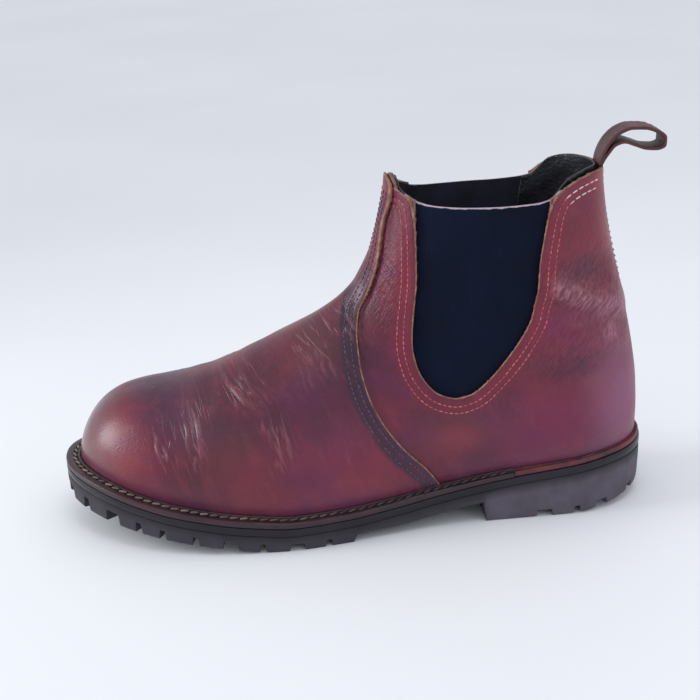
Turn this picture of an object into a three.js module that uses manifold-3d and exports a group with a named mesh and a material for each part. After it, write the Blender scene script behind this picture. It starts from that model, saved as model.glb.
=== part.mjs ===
// A left-foot Chelsea boot: oxblood leather upper with elastic side gores, pull loop at the back,
// storm welt with a heavy stitch, rubber midsole and a lugged unit sole with a heel.
// Millimetres. +X runs from the heel to the toe, +Y to the wearer's left (the outer, lateral side), +Z up.
// Inside this file x = 0 is near the back of the heel; the finished group is moved so that the
// middle of its box is over the origin, with the ground at z = 0.
import * as THREE from "three";
import { mergeVertices } from "three/addons/utils/BufferGeometryUtils.js";
import Module from "manifold-3d";

const wasm = await Module();
wasm.setup();

// ---- Driving dimensions -------------------------------------------------------------------------

const TOE_X = 297; // tip of the upper where it meets the welt
const HEEL_X = 1.7; // back of the upper where it meets the heel rand
const FAN_X = 166; // ahead of this the cross-sections stand upright; behind it they fan round the instep
const ARCH_POWER = 2.2; // roundness of the toe, in plan and in section
const TOE_ROUND = 62; // length of the toe's rounding in plan
const HEEL_ROUND = 40; // radius of the heel's rounding in plan
const SWELL = 0.045; // how much the foot's sides bulge above the feather line
const SWELL_HEIGHT = 45;
const TOE_SECTION_POWER = 2.3; // squareness of the first cross-section over the toe
const HEEL_RIDGE_ROUND = 72; // length of the rounding in from the ridge line, at the heel's corner
const SHAFT_RIDGE_ROUND = 50; // and at the top of the shaft

const LEATHER = 2.2; // outer leather
const LAYER_GAP = 0.3; // clearance between neighbouring solids
const MIDDLE_IN = 2.5; // middle layer: gores, toe puff, heel counter and the strap's tail
const MIDDLE_OUT = 3.6;
const LINING_IN = 3.9;
const LINING_OUT = 5.0;

const WELT = 3.1; // thickness of the welt and of the heel rand
const MIDSOLE = 4.4;
const INSOLE = 3.0;
const INSOLE_INSET = 7.2; // the insole fits inside the lining
const SOCK = 1.4;
const SOCK_FRONT = 118;
const WELT_INNER = 3.4; // the welt and the rand reach this far in under the upper
const RIB_THICK = 1.3;
const STORM_RIDGE = { from: 0.8, to: 2.2, height: 1.2 }; // offsets from the upper of the welt's raised ridge
const THREAD_RADIUS = 0.8;
const THREAD_OFFSET = 3.6; // the seam thread lies on the welt beside the ridge
const HEEL_BREAST = 86.5; // front face of the heel
const TREAD_START = 155.5; // back edge of the forepart tread
const WELT_START = 72; // the welt runs from here round the toe; behind it lies the heel rand
const TREAD_DEPTH = 4; // depth of the grooves between the lugs
const LUG_LENGTH = 14; // the edge lugs reach this far in, to the groove that rings the tread
const RING_GROOVE = 3.5;
const CENTRE_GROOVE = 4;
const GROOVE_FLARE = 0.8;

const STRAP_WIDTH = 16;
const STRAP_THICK = 1.8;

// The ridge line of the upper in side view, from the tip of the toe over the instep to the front's top.
const TOP_LINE = [
  [297, 33.5], [296.4, 39.5], [294.6, 46], [291.3, 52.8], [286.6, 59.2], [280.4, 64.6], [272, 68.8],
  [261, 71.6], [248, 73.6], [235, 76.4], [220, 81], [203, 88.4], [185, 97.3], [166, 107],
  [153, 115.6], [144.5, 126], [138.5, 138], [134.5, 150], [131.5, 163], [129.3, 177], [128.5, 184],
];
const TOP_BEHIND_FAN = 144; // where the ridge line meets the section that ends at the heel's corner
// The back of the heel in side view.
const BACK_LINE = [
  [1.7, 36], [1.3, 48], [1.8, 62], [4, 79], [7.5, 98], [12, 120], [16.5, 140], [19.6, 158],
  [21, 172], [21.5, 184],
];
// Height of the feather line, where the upper meets the welt.
const FEATHER = [
  [0, 34], [20, 33], [45, 30], [71, 27], [90, 24.3], [111, 21], [132, 18], [157, 16], [185, 15.5],
  [207, 17.5], [231, 21.2], [252, 25.2], [268, 28.4], [285, 31.6], [297, 33.5],
];
// Half widths of the feather outline before its ends are rounded.
const LATERAL = [
  [0, 34], [40, 35], [80, 35.5], [110, 37.5], [140, 43], [165, 49], [190, 53], [215, 53.5], [240, 51.5],
  [265, 47], [297, 38],
];
const MEDIAL = [
  [0, 33], [40, 33.5], [80, 31.5], [110, 31.5], [140, 36], [165, 41], [190, 45.5], [215, 47], [240, 46.5],
  [265, 43], [297, 35],
];
const MIDDLE_Y = [[0, 0], [120, 0], [200, -1.5], [260, -4], [297, -5.5]]; // the toe turns in a little
const SHAFT_HALF = [[30, 34], [55, 35.5], [85, 33.5], [115, 32], [145, 32.5], [184, 33.5]]; // by height
const BLEND_HEIGHT = [[0, 70], [120, 75], [155, 110], [190, 210], [230, 400], [300, 400]]; // foot to shaft
// How far the sole stands out beyond the upper.
const SOLE_EDGE = [[0, 2.6], [30, 3.2], [80, 4.6], [120, 5.6], [170, 6.9], [220, 7.4], [297, 8]];
const TREAD = [ // underside of the lugs in the forepart
  [120, 0], [192, 0], [205, 0.8], [220, 3], [240, 6.2], [260, 9.4], [280, 12.4], [297, 14.8], [306, 16],
];
// Underside of the heel, with its rolled back edge.
const HEEL_TREAD = [[-5, 7.4], [10, 4.6], [25, 2], [40, 0.5], [50, 0], [100, 0]];
const BASE_THICK = [[0, 5.5], [130, 5.5], [152, 4], [306, 4]]; // the outsole without its lugs

// Cut lines of the upper in side view.
const TOPLINE = [
  [10, 175.5], [20, 175.5], [27, 176.2], [34, 175.4], [41, 173.3], [47, 170], [52, 166.4], [60, 165],
  [76, 164.3], [92, 164.4], [107, 165], [117, 166.6], [123, 169.6], [126.5, 171.6], [129.4, 176.6],
  [140, 178],
];
const SEAM = [ // back edge of the vamp, from the top down to the welt
  [128, 190], [127.4, 171], [132, 152], [135.5, 134], [141, 119], [146.5, 108], [148, 97], [147.4, 85],
  [144.3, 71], [138.6, 58.5], [128.6, 44.5], [116, 31], [104, 12],
];
const GORE = [ // edge of the gore's window in the quarter
  [118.5, 190], [118, 168], [117.3, 151], [117.6, 129], [120, 107], [120.8, 94], [119, 83.5], [114.5, 75],
  [108, 69.4], [100, 67.4], [92.8, 69.2], [86, 74.2], [77.4, 83.6], [68, 95.5], [62, 107], [59.3, 120],
  [57.8, 136], [55.2, 152], [52, 168], [50, 190],
];
const GORE_MARGIN = 5; // how far the gore reaches behind the quarter
const WINDOW_MARGIN = 3.5; // how far the lining overlaps the window
const COUNTER = [[-6, 20], [78, 20], [76, 45], [66, 66], [44, 80], [20, 88], [-6, 91]];
const PUFF = [[250, 10], [258, 100], [320, 100], [320, 10]];
// The pull loop in side view, along the middle of the strap, from its root round the fold and back.
const LOOP = [
  [22.6, 178.4], [20.7, 183.6], [17.4, 188.4], [12.8, 192], [7.4, 193.6], [1, 193.3], [-5, 191.3],
  [-9, 188.1],
  [-8.8, 184.4], [-5, 182.8], [0.5, 183.3], [6, 185.3], [11.4, 187],
];

// ---- Curves and small helpers --------------------------------------------------------------------

// A smooth function through points sorted by their first number, straight beyond its ends.
function through(points) {
  const n = points.length;
  const slope = (i) => (points[i + 1][1] - points[i][1]) / (points[i + 1][0] - points[i][0]);
  const tangent = points.map((_, i) => {
    if (i === 0) return slope(0);
    if (i === n - 1) return slope(n - 2);
    if (slope(i - 1) * slope(i) <= 0) return 0;
    return (2 * slope(i - 1) * slope(i)) / (slope(i - 1) + slope(i));
  });
  return (x) => {
    if (x <= points[0][0]) return points[0][1] + tangent[0] * (x - points[0][0]);
    if (x >= points[n - 1][0]) return points[n - 1][1] + tangent[n - 1] * (x - points[n - 1][0]);
    let i = 0;
    while (x > points[i + 1][0]) i++;
    const span = points[i + 1][0] - points[i][0];
    const t = (x - points[i][0]) / span;
    const rise = t * t * (3 - 2 * t);
    const leave = t * (1 - t) * (1 - t) * span * tangent[i];
    const arrive = -t * t * (1 - t) * span * tangent[i + 1];
    return points[i][1] + (points[i + 1][1] - points[i][1]) * rise + leave + arrive;
  };
}

// A smooth path through points of the plane, by distance along it.
function pathThrough(points) {
  const at = [0];
  for (let i = 1; i < points.length; i++) {
    at.push(at[i - 1] + Math.hypot(points[i][0] - points[i - 1][0], points[i][1] - points[i - 1][1]));
  }
  const x = through(points.map((p, i) => [at[i], p[0]]));
  const z = through(points.map((p, i) => [at[i], p[1]]));
  return { length: at[at.length - 1], at: (s) => [x(s), z(s)] };
}

// The distance along a path whose x falls steadily, at which it passes a given x.
function distanceAtX(path, x) {
  let low = 0;
  let high = path.length;
  for (let i = 0; i < 40; i++) {
    const middle = (low + high) / 2;
    if (path.at(middle)[0] > x) low = middle;
    else high = middle;
  }
  return low;
}

const mix = (a, b, t) => a + (b - a) * t;
const clamp01 = (t) => Math.min(1, Math.max(0, t));
const smooth = (t) => clamp01(t) ** 2 * (3 - 2 * clamp01(t));
const arch = (t, power = 2) => (1 - (1 - clamp01(t)) ** power) ** (1 / power);

const ridge = pathThrough(TOP_LINE);
const back = pathThrough(BACK_LINE);
const backXAt = through(BACK_LINE.map(([x, z]) => [z, x]));
const feather = through(FEATHER);
const lateral = through(LATERAL);
const medial = through(MEDIAL);
const middleY = through(MIDDLE_Y);
const shaftHalf = through(SHAFT_HALF);
const blendHeight = through(BLEND_HEIGHT);
const soleEdge = through(SOLE_EDGE);
const tread = through(TREAD);
const heelTread = through(HEEL_TREAD);
const baseThick = through(BASE_THICK);
const topline = through(TOPLINE);

// ---- Solids ----------------------------------------------------------------------------------------

// A manifold-3d solid of a closed geometry, without its normals and texture coordinates.
function solid(geometry) {
  const plain = geometry.index ? geometry.toNonIndexed() : geometry;
  const bare = new THREE.BufferGeometry().setAttribute("position", plain.getAttribute("position"));
  const merged = mergeVertices(bare, 1e-4);
  const corners = [];
  for (let i = 0; i < merged.index.count; i += 3) {
    const [a, b, c] = [0, 1, 2].map((k) => merged.index.getX(i + k));
    if (a !== b && b !== c && a !== c) corners.push(a, b, c);
  }
  return new wasm.Manifold(
    new wasm.Mesh({
      numProp: 3,
      vertProperties: merged.attributes.position.array,
      triVerts: new Uint32Array(corners),
    }),
  );
}

// The geometry of a manifold-3d solid.
function geometryOf(made) {
  const mesh = made.getMesh();
  const positions = new Float32Array(mesh.numVert * 3);
  for (let i = 0; i < mesh.numVert; i++) {
    positions.set(mesh.vertProperties.subarray(i * mesh.numProp, i * mesh.numProp + 3), i * 3);
  }
  return new THREE.BufferGeometry()
    .setAttribute("position", new THREE.BufferAttribute(positions, 3))
    .setIndex(new THREE.BufferAttribute(mesh.triVerts, 1));
}

function geometryFrom(triangles) {
  return new THREE.BufferGeometry().setAttribute(
    "position",
    new THREE.Float32BufferAttribute(triangles.flat(2), 3),
  );
}

// An outline of the side view, drawn out along Y from low to high.
function prism(outline, low, high, hole) {
  const shape = new THREE.Shape(outline.map(([x, z]) => new THREE.Vector2(x, z)));
  if (hole) shape.holes.push(new THREE.Path(hole.map(([x, z]) => new THREE.Vector2(x, z))));
  const made = new THREE.ExtrudeGeometry(shape, { depth: high - low, bevelEnabled: false, steps: 1 });
  return made.rotateX(Math.PI / 2).translate(0, high, 0);
}

function box(low, high) {
  const size = high.map((value, i) => value - low[i]);
  return new THREE.BoxGeometry(...size).translate(...low.map((value, i) => value + size[i] / 2));
}

// ---- The upper's outer surface -------------------------------------------------------------------

const FORE_SECTIONS = 13;
const FAN_SECTIONS = 10;
const BACK_SECTIONS = 8;
const SECTIONS = FORE_SECTIONS + FAN_SECTIONS + BACK_SECTIONS;
const CORNER = FORE_SECTIONS + FAN_SECTIONS; // the section that ends at the heel's corner
const SIDE_STEPS = 9;

const ridgeAtFan = distanceAtX(ridge, FAN_X);
const ridgeAtCorner = distanceAtX(ridge, TOP_BEHIND_FAN);

// The two ends of a cross-section in side view: on the ridge line, and on the feather line or the back.
function sectionEnds(section) {
  if (section <= FORE_SECTIONS) {
    const share = 1 - Math.cos(((section / FORE_SECTIONS) * Math.PI) / 2);
    const x = mix(TOE_X, FAN_X, mix(share, section / FORE_SECTIONS, 0.35));
    return [ridge.at(distanceAtX(ridge, x)), [x, feather(x)]];
  }
  if (section <= CORNER) {
    const share = (section - FORE_SECTIONS) / FAN_SECTIONS;
    const x = mix(FAN_X, HEEL_X, mix(share, Math.sin((share * Math.PI) / 2), 0.6));
    const end = section === CORNER ? BACK_LINE[0] : [x, feather(x)];
    return [ridge.at(mix(ridgeAtFan, ridgeAtCorner, share)), end];
  }
  const share = (section - CORNER) / BACK_SECTIONS;
  return [ridge.at(mix(ridgeAtCorner, ridge.length, share)), back.at(back.length * share)];
}

// Length over which a section rounds in from the ridge line.
function ridgeRounding(section, length) {
  if (section <= FORE_SECTIONS) return length;
  if (section <= CORNER) return mix(length, HEEL_RIDGE_ROUND, (section - FORE_SECTIONS) / FAN_SECTIONS);
  return mix(HEEL_RIDGE_ROUND, SHAFT_RIDGE_ROUND, (section - CORNER) / BACK_SECTIONS);
}

// A point of the outer surface: t runs from the ridge down, side is 1 on the lateral and -1 on the medial side.
function surfacePoint(section, t, side) {
  const [top, end] = sectionEnds(section);
  const x = mix(top[0], end[0], t);
  const z = mix(top[1], end[1], t);
  const length = Math.hypot(top[0] - end[0], top[1] - end[1]);
  const above = Math.max(0, z - feather(x));
  const outline = (side > 0 ? lateral : medial)(x) * arch((TOE_X - x) / TOE_ROUND, ARCH_POWER);
  const blend = smooth(above / blendHeight(x));
  const swell = 1 + SWELL * Math.sin(Math.PI * clamp01(above / SWELL_HEIGHT));
  const power = section <= FORE_SECTIONS ? mix(TOE_SECTION_POWER, 2, section / FORE_SECTIONS) : 2;
  const fromRidge = arch((t * length) / Math.max(ridgeRounding(section, length), 1e-6), power);
  const fromBack = arch((x - backXAt(z)) / HEEL_ROUND);
  const half = mix(outline * swell, shaftHalf(z), blend) * fromRidge * fromBack;
  return new THREE.Vector3(x, middleY(x) + side * half, z);
}

// The outward direction of the surface there.
function surfaceNormal(section, t, side) {
  const step = 0.02;
  const onSeam = t < 1e-6 || (t > 1 - 1e-6 && section >= CORNER);
  if (section < 1e-6) return new THREE.Vector3(1, 0, 0);
  const earlier = section === CORNER ? section : section - step;
  const along = surfacePoint(Math.min(section + step, SECTIONS), t, side).sub(surfacePoint(earlier, t, side));
  if (onSeam) {
    const turn = t < 0.5 ? 1 : -1;
    return new THREE.Vector3(turn * along.z, 0, -turn * along.x).normalize();
  }
  const down = surfacePoint(section, Math.min(t + step, 1), side)
    .sub(surfacePoint(section, Math.max(t - step, 0), side));
  return along.cross(down).multiplyScalar(-side).normalize();
}

// A closed solid inside the outer surface moved in by depth. Its foot hangs below the feather line.
function uprightSolid(depth) {
  const skirt = 12;
  const row = (section, side) => {
    const points = [];
    for (let k = 0; k <= SIDE_STEPS; k++) {
      const t = (1 - Math.cos((k / SIDE_STEPS) * Math.PI)) / 2;
      const even = mix(t, k / SIDE_STEPS, 0.3);
      const point = surfacePoint(section, even, side);
      point.addScaledVector(surfaceNormal(section, even, side), -depth);
      if (k === 0 || (k === SIDE_STEPS && section >= CORNER)) point.y = middleY(point.x);
      points.push(point);
    }
    const last = points[SIDE_STEPS];
    points.push(new THREE.Vector3(last.x, last.y, last.z - skirt));
    return points;
  };
  const rows = [1, -1].map((side) => Array.from({ length: SECTIONS + 1 }, (_, i) => row(i, side)));
  const [left, right] = rows;
  right.forEach((points, i) => {
    points[0].copy(left[i][0]);
    if (i === 0) points.forEach((p, k) => p.copy(k > SIDE_STEPS ? left[0][SIDE_STEPS + 1] : left[0][0]));
    if (i === 0) left[0].forEach((p, k) => k <= SIDE_STEPS && p.copy(left[0][0]));
    if (i >= CORNER) points[SIDE_STEPS].copy(left[i][SIDE_STEPS]);
    if (i === CORNER) points[SIDE_STEPS + 1].copy(left[i][SIDE_STEPS + 1]);
  });
  const triangles = [];
  const quad = (a, b, c, d) => {
    const halves = a.distanceTo(c) < b.distanceTo(d) ? [[a, b, c], [a, c, d]] : [[a, b, d], [b, c, d]];
    halves.forEach((corners) => triangles.push(corners.map((p) => p.toArray())));
  };
  for (let i = 0; i < SECTIONS; i++) {
    const deepest = i < CORNER ? SIDE_STEPS + 1 : SIDE_STEPS;
    for (let k = 0; k < deepest; k++) {
      quad(left[i][k], left[i + 1][k], left[i + 1][k + 1], left[i][k + 1]);
      quad(right[i][k + 1], right[i + 1][k + 1], right[i + 1][k], right[i][k]);
    }
    if (i < CORNER) {
      const k = SIDE_STEPS + 1;
      quad(left[i][k], left[i + 1][k], right[i + 1][k], right[i][k]);
    }
  }
  const [topLeft, topRight] = [left[SECTIONS], right[SECTIONS]];
  for (let k = 0; k < SIDE_STEPS; k++) {
    quad(topLeft[k], topRight[k], topRight[k + 1], topLeft[k + 1]);
  }
  const made = solid(geometryFrom(triangles));
  return made.volume() > 0 ? made : solid(geometryFrom(triangles.map(([a, b, c]) => [a, c, b])));
}

// ---- The bottom: slabs that follow the feather line's curve --------------------------------------

const STATIONS = 40;

// The feather outline in plan, moved out by offset(x), as matched lateral and medial points.
function outlineRails(offset) {
  const point = (x, side) => {
    const rounding = arch((TOE_X - x) / TOE_ROUND, ARCH_POWER) * arch((x - HEEL_X) / HEEL_ROUND);
    return new THREE.Vector2(x, middleY(x) + side * (side > 0 ? lateral : medial)(x) * rounding);
  };
  const xAt = (i) => mix(HEEL_X, TOE_X, (1 - Math.cos((i / STATIONS) * Math.PI)) / 2);
  return [1, -1].map((side) =>
    Array.from({ length: STATIONS + 1 }, (_, i) => {
      const here = point(xAt(i), side);
      const amount = offset(here.x);
      if (i === 0) return new THREE.Vector2(here.x - amount, here.y);
      if (i === STATIONS) return new THREE.Vector2(here.x + amount, here.y);
      const ahead = point(xAt(i + 0.3), side);
      const behind = point(xAt(i - 0.3), side);
      const normal = new THREE.Vector2(behind.y - ahead.y, ahead.x - behind.x).normalize();
      return here.addScaledVector(normal, side * amount);
    }),
  );
}

// A slab with that outline between two heights, each a function of x.
function slab(offset, top, bottom) {
  const [left, right] = outlineRails(offset);
  const triangles = [];
  const high = (p) => [p.x, p.y, top(p.x)];
  const low = (p) => [p.x, p.y, bottom(p.x)];
  for (let i = 0; i < STATIONS; i++) {
    const [a, b, c, d] = [left[i], left[i + 1], right[i + 1], right[i]];
    triangles.push([high(a), high(d), high(c)], [high(a), high(c), high(b)]);
    triangles.push([low(a), low(c), low(d)], [low(a), low(b), low(c)]);
    triangles.push([high(a), high(b), low(b)], [high(a), low(b), low(a)]);
    triangles.push([high(d), low(c), high(c)], [high(d), low(d), low(c)]);
  }
  return solid(geometryFrom(triangles));
}

const wholeEdge = (x) => soleEdge(x);
const inset = (amount) => () => -amount;
const under = (amount) => (x) => feather(x) - amount;
const midsoleFoot = WELT + MIDSOLE;

function inFront(x) {
  return solid(box([x, -90, -40], [400, 90, 240]));
}
function behind(x) {
  return solid(box([-60, -90, -40], [x, 90, 240]));
}

// Everything below the upper's foot.
const floorCut = slab(() => 30, (x) => feather(x) + LAYER_GAP, () => -30);

// ---- Lugged outsole ------------------------------------------------------------------------------

// A groove across the sole's edge, square to it, cut up from below, with slightly sloping sides.
function edgeGroove(at, normal, width, reach, floor, depth) {
  const flare = GROOVE_FLARE;
  const half = width / 2;
  const shape = new THREE.Shape();
  shape.moveTo(-half - flare, -20);
  shape.lineTo(half + flare, -20);
  shape.lineTo(half + flare, 0);
  shape.lineTo(half, depth);
  shape.lineTo(-half, depth);
  shape.lineTo(-half - flare, 0);
  const groove = new THREE.ExtrudeGeometry(shape, { depth: reach + 12, bevelEnabled: false, steps: 1 });
  groove.rotateX(Math.PI / 2).translate(0, reach, 0); // now runs along -Y, with its height along Z
  groove.rotateZ(Math.atan2(normal.y, normal.x) + Math.PI / 2);
  return solid(groove.translate(at.x, at.y, floor));
}

// Places along the outer edge, by x, on one side: where the grooves sit and how wide they are.
const FORE_GROOVES = [
  [168.3, 2.2], [184.4, 6.5], [201.4, 2.2], [217.8, 6.5], [235.1, 2.2], [251.7, 2.2], [264, 2.2],
  [277.8, 6],
  [292.6, 2.2], [302.2, 2.2],
];
const HEEL_GROOVES = [[56.2, 7], [38.8, 2.2], [25.4, 5.5], [8, 2.2]];
const CENTRE_GROOVES = [170, 190, 210, 230, 250, 270];
const RING_MARGIN = 8; // the ring groove stops this far short of the shank's open waist

function grooves(rails, places, floorAt, depthAt) {
  const cuts = [];
  rails.forEach((rail, which) => {
    const side = which === 0 ? 1 : -1;
    places.forEach(([x, width]) => {
      let i = 1;
      while (i < rail.length - 2 && rail[i].x < x) i++;
      const share = (x - rail[i - 1].x) / (rail[i].x - rail[i - 1].x);
      const at = rail[i - 1].clone().lerp(rail[i], share);
      const along = rail[i].clone().sub(rail[i - 1]).normalize();
      const normal = new THREE.Vector2(-along.y, along.x).multiplyScalar(side);
      cuts.push(edgeGroove(at, normal, width, 13, floorAt(x), depthAt(x)));
    });
  });
  return cuts;
}

function outsole() {
  const baseTop = under(midsoleFoot + LAYER_GAP);
  const baseFoot = (x) => baseTop(x) - baseThick(x);
  const base = slab(wholeEdge, baseTop, baseFoot);
  const overlap = 1.5;
  const fore = slab(wholeEdge, (x) => baseFoot(x) + overlap, tread).intersect(inFront(TREAD_START));
  const heel = slab(wholeEdge, (x) => baseFoot(x) + overlap, heelTread).intersect(behind(HEEL_BREAST));
  let sole = base.add(fore).add(heel);
  const rails = outlineRails(wholeEdge);
  const foreDepth = (x) => baseFoot(x) - tread(x);
  for (const cut of grooves(rails, FORE_GROOVES, tread, foreDepth)) sole = sole.subtract(cut);
  for (const cut of grooves(rails, HEEL_GROOVES, heelTread, () => TREAD_DEPTH)) sole = sole.subtract(cut);
  const ringOutside = (x) => soleEdge(x) - LUG_LENGTH;
  const ringInside = (x) => soleEdge(x) - LUG_LENGTH - RING_GROOVE;
  const foreRoof = (x) => baseFoot(x) + 0.01;
  const heelRoof = (x) => heelTread(x) + TREAD_DEPTH;
  const ring = (roof) =>
    slab(ringOutside, roof, () => -30).subtract(slab(ringInside, (x) => roof(x) + 2, () => -31));
  sole = sole.subtract(ring(foreRoof).intersect(inFront(TREAD_START + RING_MARGIN)));
  sole = sole.subtract(ring(heelRoof).intersect(behind(HEEL_BREAST - RING_MARGIN)));
  const forePad = slab(ringOutside, foreRoof, () => -30);
  for (const x of CENTRE_GROOVES) {
    const strip = solid(box([x - CENTRE_GROOVE / 2, -60, -30], [x + CENTRE_GROOVE / 2, 60, 60]));
    sole = sole.subtract(forePad.intersect(strip));
  }
  return sole;
}

// ---- The upper's pieces ----------------------------------------------------------------------------

// The side-view line moved sideways by distance, to the left of its direction.
function besideLine(points, distance) {
  return points.map((p, i) => {
    const a = points[Math.max(i - 1, 0)];
    const b = points[Math.min(i + 1, points.length - 1)];
    const length = Math.hypot(b[0] - a[0], b[1] - a[1]);
    return [p[0] - ((b[1] - a[1]) / length) * distance, p[1] + ((b[0] - a[0]) / length) * distance];
  });
}

const FAR = 90;
const seamFront = (clearance) => [...besideLine(SEAM, clearance), [330, 12], [330, 220], [128, 220]];
const seamBehind = (clearance) => [...besideLine(SEAM, -clearance), [-40, 12], [-40, 220], [128, 220]];
const frontOfSeam = solid(prism(seamFront(LAYER_GAP / 2), -FAR, FAR));
const behindSeam = solid(prism(seamBehind(LAYER_GAP / 2), -FAR, FAR));
const goreWindow = (margin) => solid(prism(besideLine(GORE, margin), -FAR, FAR));
const lateralHalf = solid(box([-60, LAYER_GAP / 2, -40], [400, FAR, 240]));
const medialHalf = solid(box([-60, -FAR, -40], [400, -LAYER_GAP / 2, 240]));

function aboveTopline(drop) {
  const steps = 46;
  const line = [];
  for (let i = 0; i <= steps; i++) {
    const x = mix(5, 137, i / steps);
    line.push([x, topline(x) - drop]);
  }
  return solid(prism([...line, [200, 179], [200, 260], [-60, 260], [-60, 176]], -FAR, FAR));
}

function shell(outer, inner, drop) {
  return uprightSolid(outer).subtract(uprightSolid(inner)).subtract(floorCut).subtract(aboveTopline(drop));
}

const leatherShell = shell(0, LEATHER, 0);
const middleShell = shell(MIDDLE_IN, MIDDLE_OUT, 0.8);
const liningShell = shell(LINING_IN, LINING_OUT, 1.2);

const vamp = () => leatherShell.intersect(frontOfSeam);
const quarter = (half) => leatherShell.intersect(behindSeam).subtract(goreWindow(0)).intersect(half);
const gore = (half) => middleShell.intersect(goreWindow(GORE_MARGIN)).intersect(half);
const counter = () => middleShell.intersect(solid(prism(COUNTER, -FAR, FAR)));
const puff = () => middleShell.intersect(solid(prism(PUFF, -FAR, FAR)));
const linedShell = liningShell.subtract(goreWindow(-WINDOW_MARGIN));
const vampLining = () => linedShell.intersect(frontOfSeam);
const quarterLining = () => linedShell.intersect(behindSeam);

// ---- The pull loop ----------------------------------------------------------------------------------

function pullLoop() {
  const path = pathThrough(LOOP);
  const steps = 40;
  const line = Array.from({ length: steps + 1 }, (_, i) => path.at((path.length * i) / steps));
  const outside = besideLine(line, -STRAP_THICK / 2);
  const inside = besideLine(line, STRAP_THICK / 2);
  const ribbon = solid(prism([...outside, ...inside.reverse()], -STRAP_WIDTH / 2, STRAP_WIDTH / 2));
  // The returning end lies against the strap and runs down beside it to the root.
  const end = LOOP[LOOP.length - 1];
  const returning = pathThrough([end, [16, 185.8], [19, 182.4], [20.8, 178.4]]);
  const back = Array.from({ length: 13 }, (_, i) => returning.at((returning.length * i) / 12));
  const stem = solid(
    prism(
      [...besideLine(back, -STRAP_THICK / 2), ...besideLine(back, STRAP_THICK / 2).reverse()],
      -STRAP_WIDTH / 2,
      STRAP_WIDTH / 2,
    ),
  );
  return ribbon.add(stem);
}

const strapTail = () =>
  middleShell.intersect(solid(box([5, -STRAP_WIDTH / 2, 152], [45, STRAP_WIDTH / 2, 200])));

// ---- Bottom pieces -----------------------------------------------------------------------------------

// A ring of the thickness of the welt between two offsets from the upper.
function weltRing(outside, inside, top = under(0)) {
  return slab(outside, top, under(WELT)).subtract(slab(inside, under(-9), under(20)));
}

function weltPiece() {
  const flat = weltRing(wholeEdge, inset(WELT_INNER));
  const ridge = weltRing(() => STORM_RIDGE.to, () => STORM_RIDGE.from, under(-STORM_RIDGE.height));
  return flat.add(ridge).intersect(inFront(WELT_START + LAYER_GAP / 2));
}

function heelRand() {
  const ring = weltRing((x) => soleEdge(x) - 0.6, inset(WELT_INNER));
  return ring.intersect(behind(WELT_START - LAYER_GAP / 2));
}

const midsole = () => slab(wholeEdge, under(WELT + LAYER_GAP), under(midsoleFoot));
const insoleFoot = -LAYER_GAP - INSOLE;
const sockFoot = insoleFoot - LAYER_GAP;
const insolePlate = () => slab(inset(INSOLE_INSET), under(insoleFoot), under(-LAYER_GAP));
const sockSlab = () => slab(inset(INSOLE_INSET + 1), under(sockFoot - SOCK), under(sockFoot));
const sockLiner = () => sockSlab().intersect(behind(SOCK_FRONT));
const ribOutside = WELT_INNER + LAYER_GAP;
const ribInside = ribOutside + RIB_THICK;
const insoleRib = () => weltRing(inset(ribOutside), inset(ribInside));
const cork = () => slab(inset(ribInside + LAYER_GAP), under(0), under(WELT));

const SHANK = { from: 66, to: 168, halfWidth: 7, thick: 1.2 };
const shankSlab = (grow) =>
  slab(() => 5, under(WELT - SHANK.thick - grow), under(WELT + grow)).intersect(
    solid(
      box([SHANK.from - grow, -SHANK.halfWidth - grow, -20], [SHANK.to + grow, SHANK.halfWidth + grow, 80]),
    ),
  );

// Clinching nails of the heel seat, driven down through the insole into the midsole.
const NAILS = [[14, 0], [24, 16], [24, -15], [46, 21], [46, -20]];
const NAIL = { radius: 0.9, head: 1.9, headThick: 0.8, length: 9 };
function nail([x, y], grow) {
  const top = feather(x) + LAYER_GAP + INSOLE - 0.1;
  const outline = [
    [0, top - NAIL.length - grow], [NAIL.radius + grow, top - NAIL.length - grow],
    [NAIL.radius + grow, top - NAIL.headThick - grow], [NAIL.head + grow, top - NAIL.headThick - grow],
    [NAIL.head + grow, top + grow * 2], [0, top + grow * 2],
  ];
  const lathe = new THREE.LatheGeometry(outline.map(([r, z]) => new THREE.Vector2(r, z)), 8);
  return solid(lathe.rotateX(Math.PI / 2).translate(x, y, 0));
}

function nailed(piece) {
  return NAILS.reduce((rest, place) => rest.subtract(nail(place, LAYER_GAP)), piece);
}

// The heavy thread that lies along the welt, between its storm ridge and its edge.
function weltThread() {
  const [left, right] = outlineRails(() => THREAD_OFFSET);
  const loopPoints = [...left, ...right.slice(0, -1).reverse()];
  const kept = loopPoints.filter((p) => p.x > WELT_START + 5);
  const lift = THREAD_RADIUS + LAYER_GAP;
  const curve = new THREE.CatmullRomCurve3(
    kept.map((p) => new THREE.Vector3(p.x, p.y, feather(p.x) + lift)),
  );
  const section = new THREE.Shape(
    Array.from({ length: 6 }, (_, i) => {
      const angle = (i / 6) * Math.PI * 2;
      return new THREE.Vector2(Math.cos(angle) * THREAD_RADIUS, Math.sin(angle) * THREAD_RADIUS);
    }),
  );
  return solid(new THREE.ExtrudeGeometry(section, { steps: 72, extrudePath: curve, bevelEnabled: false }));
}

// ---- Assembly --------------------------------------------------------------------------------------------

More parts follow.
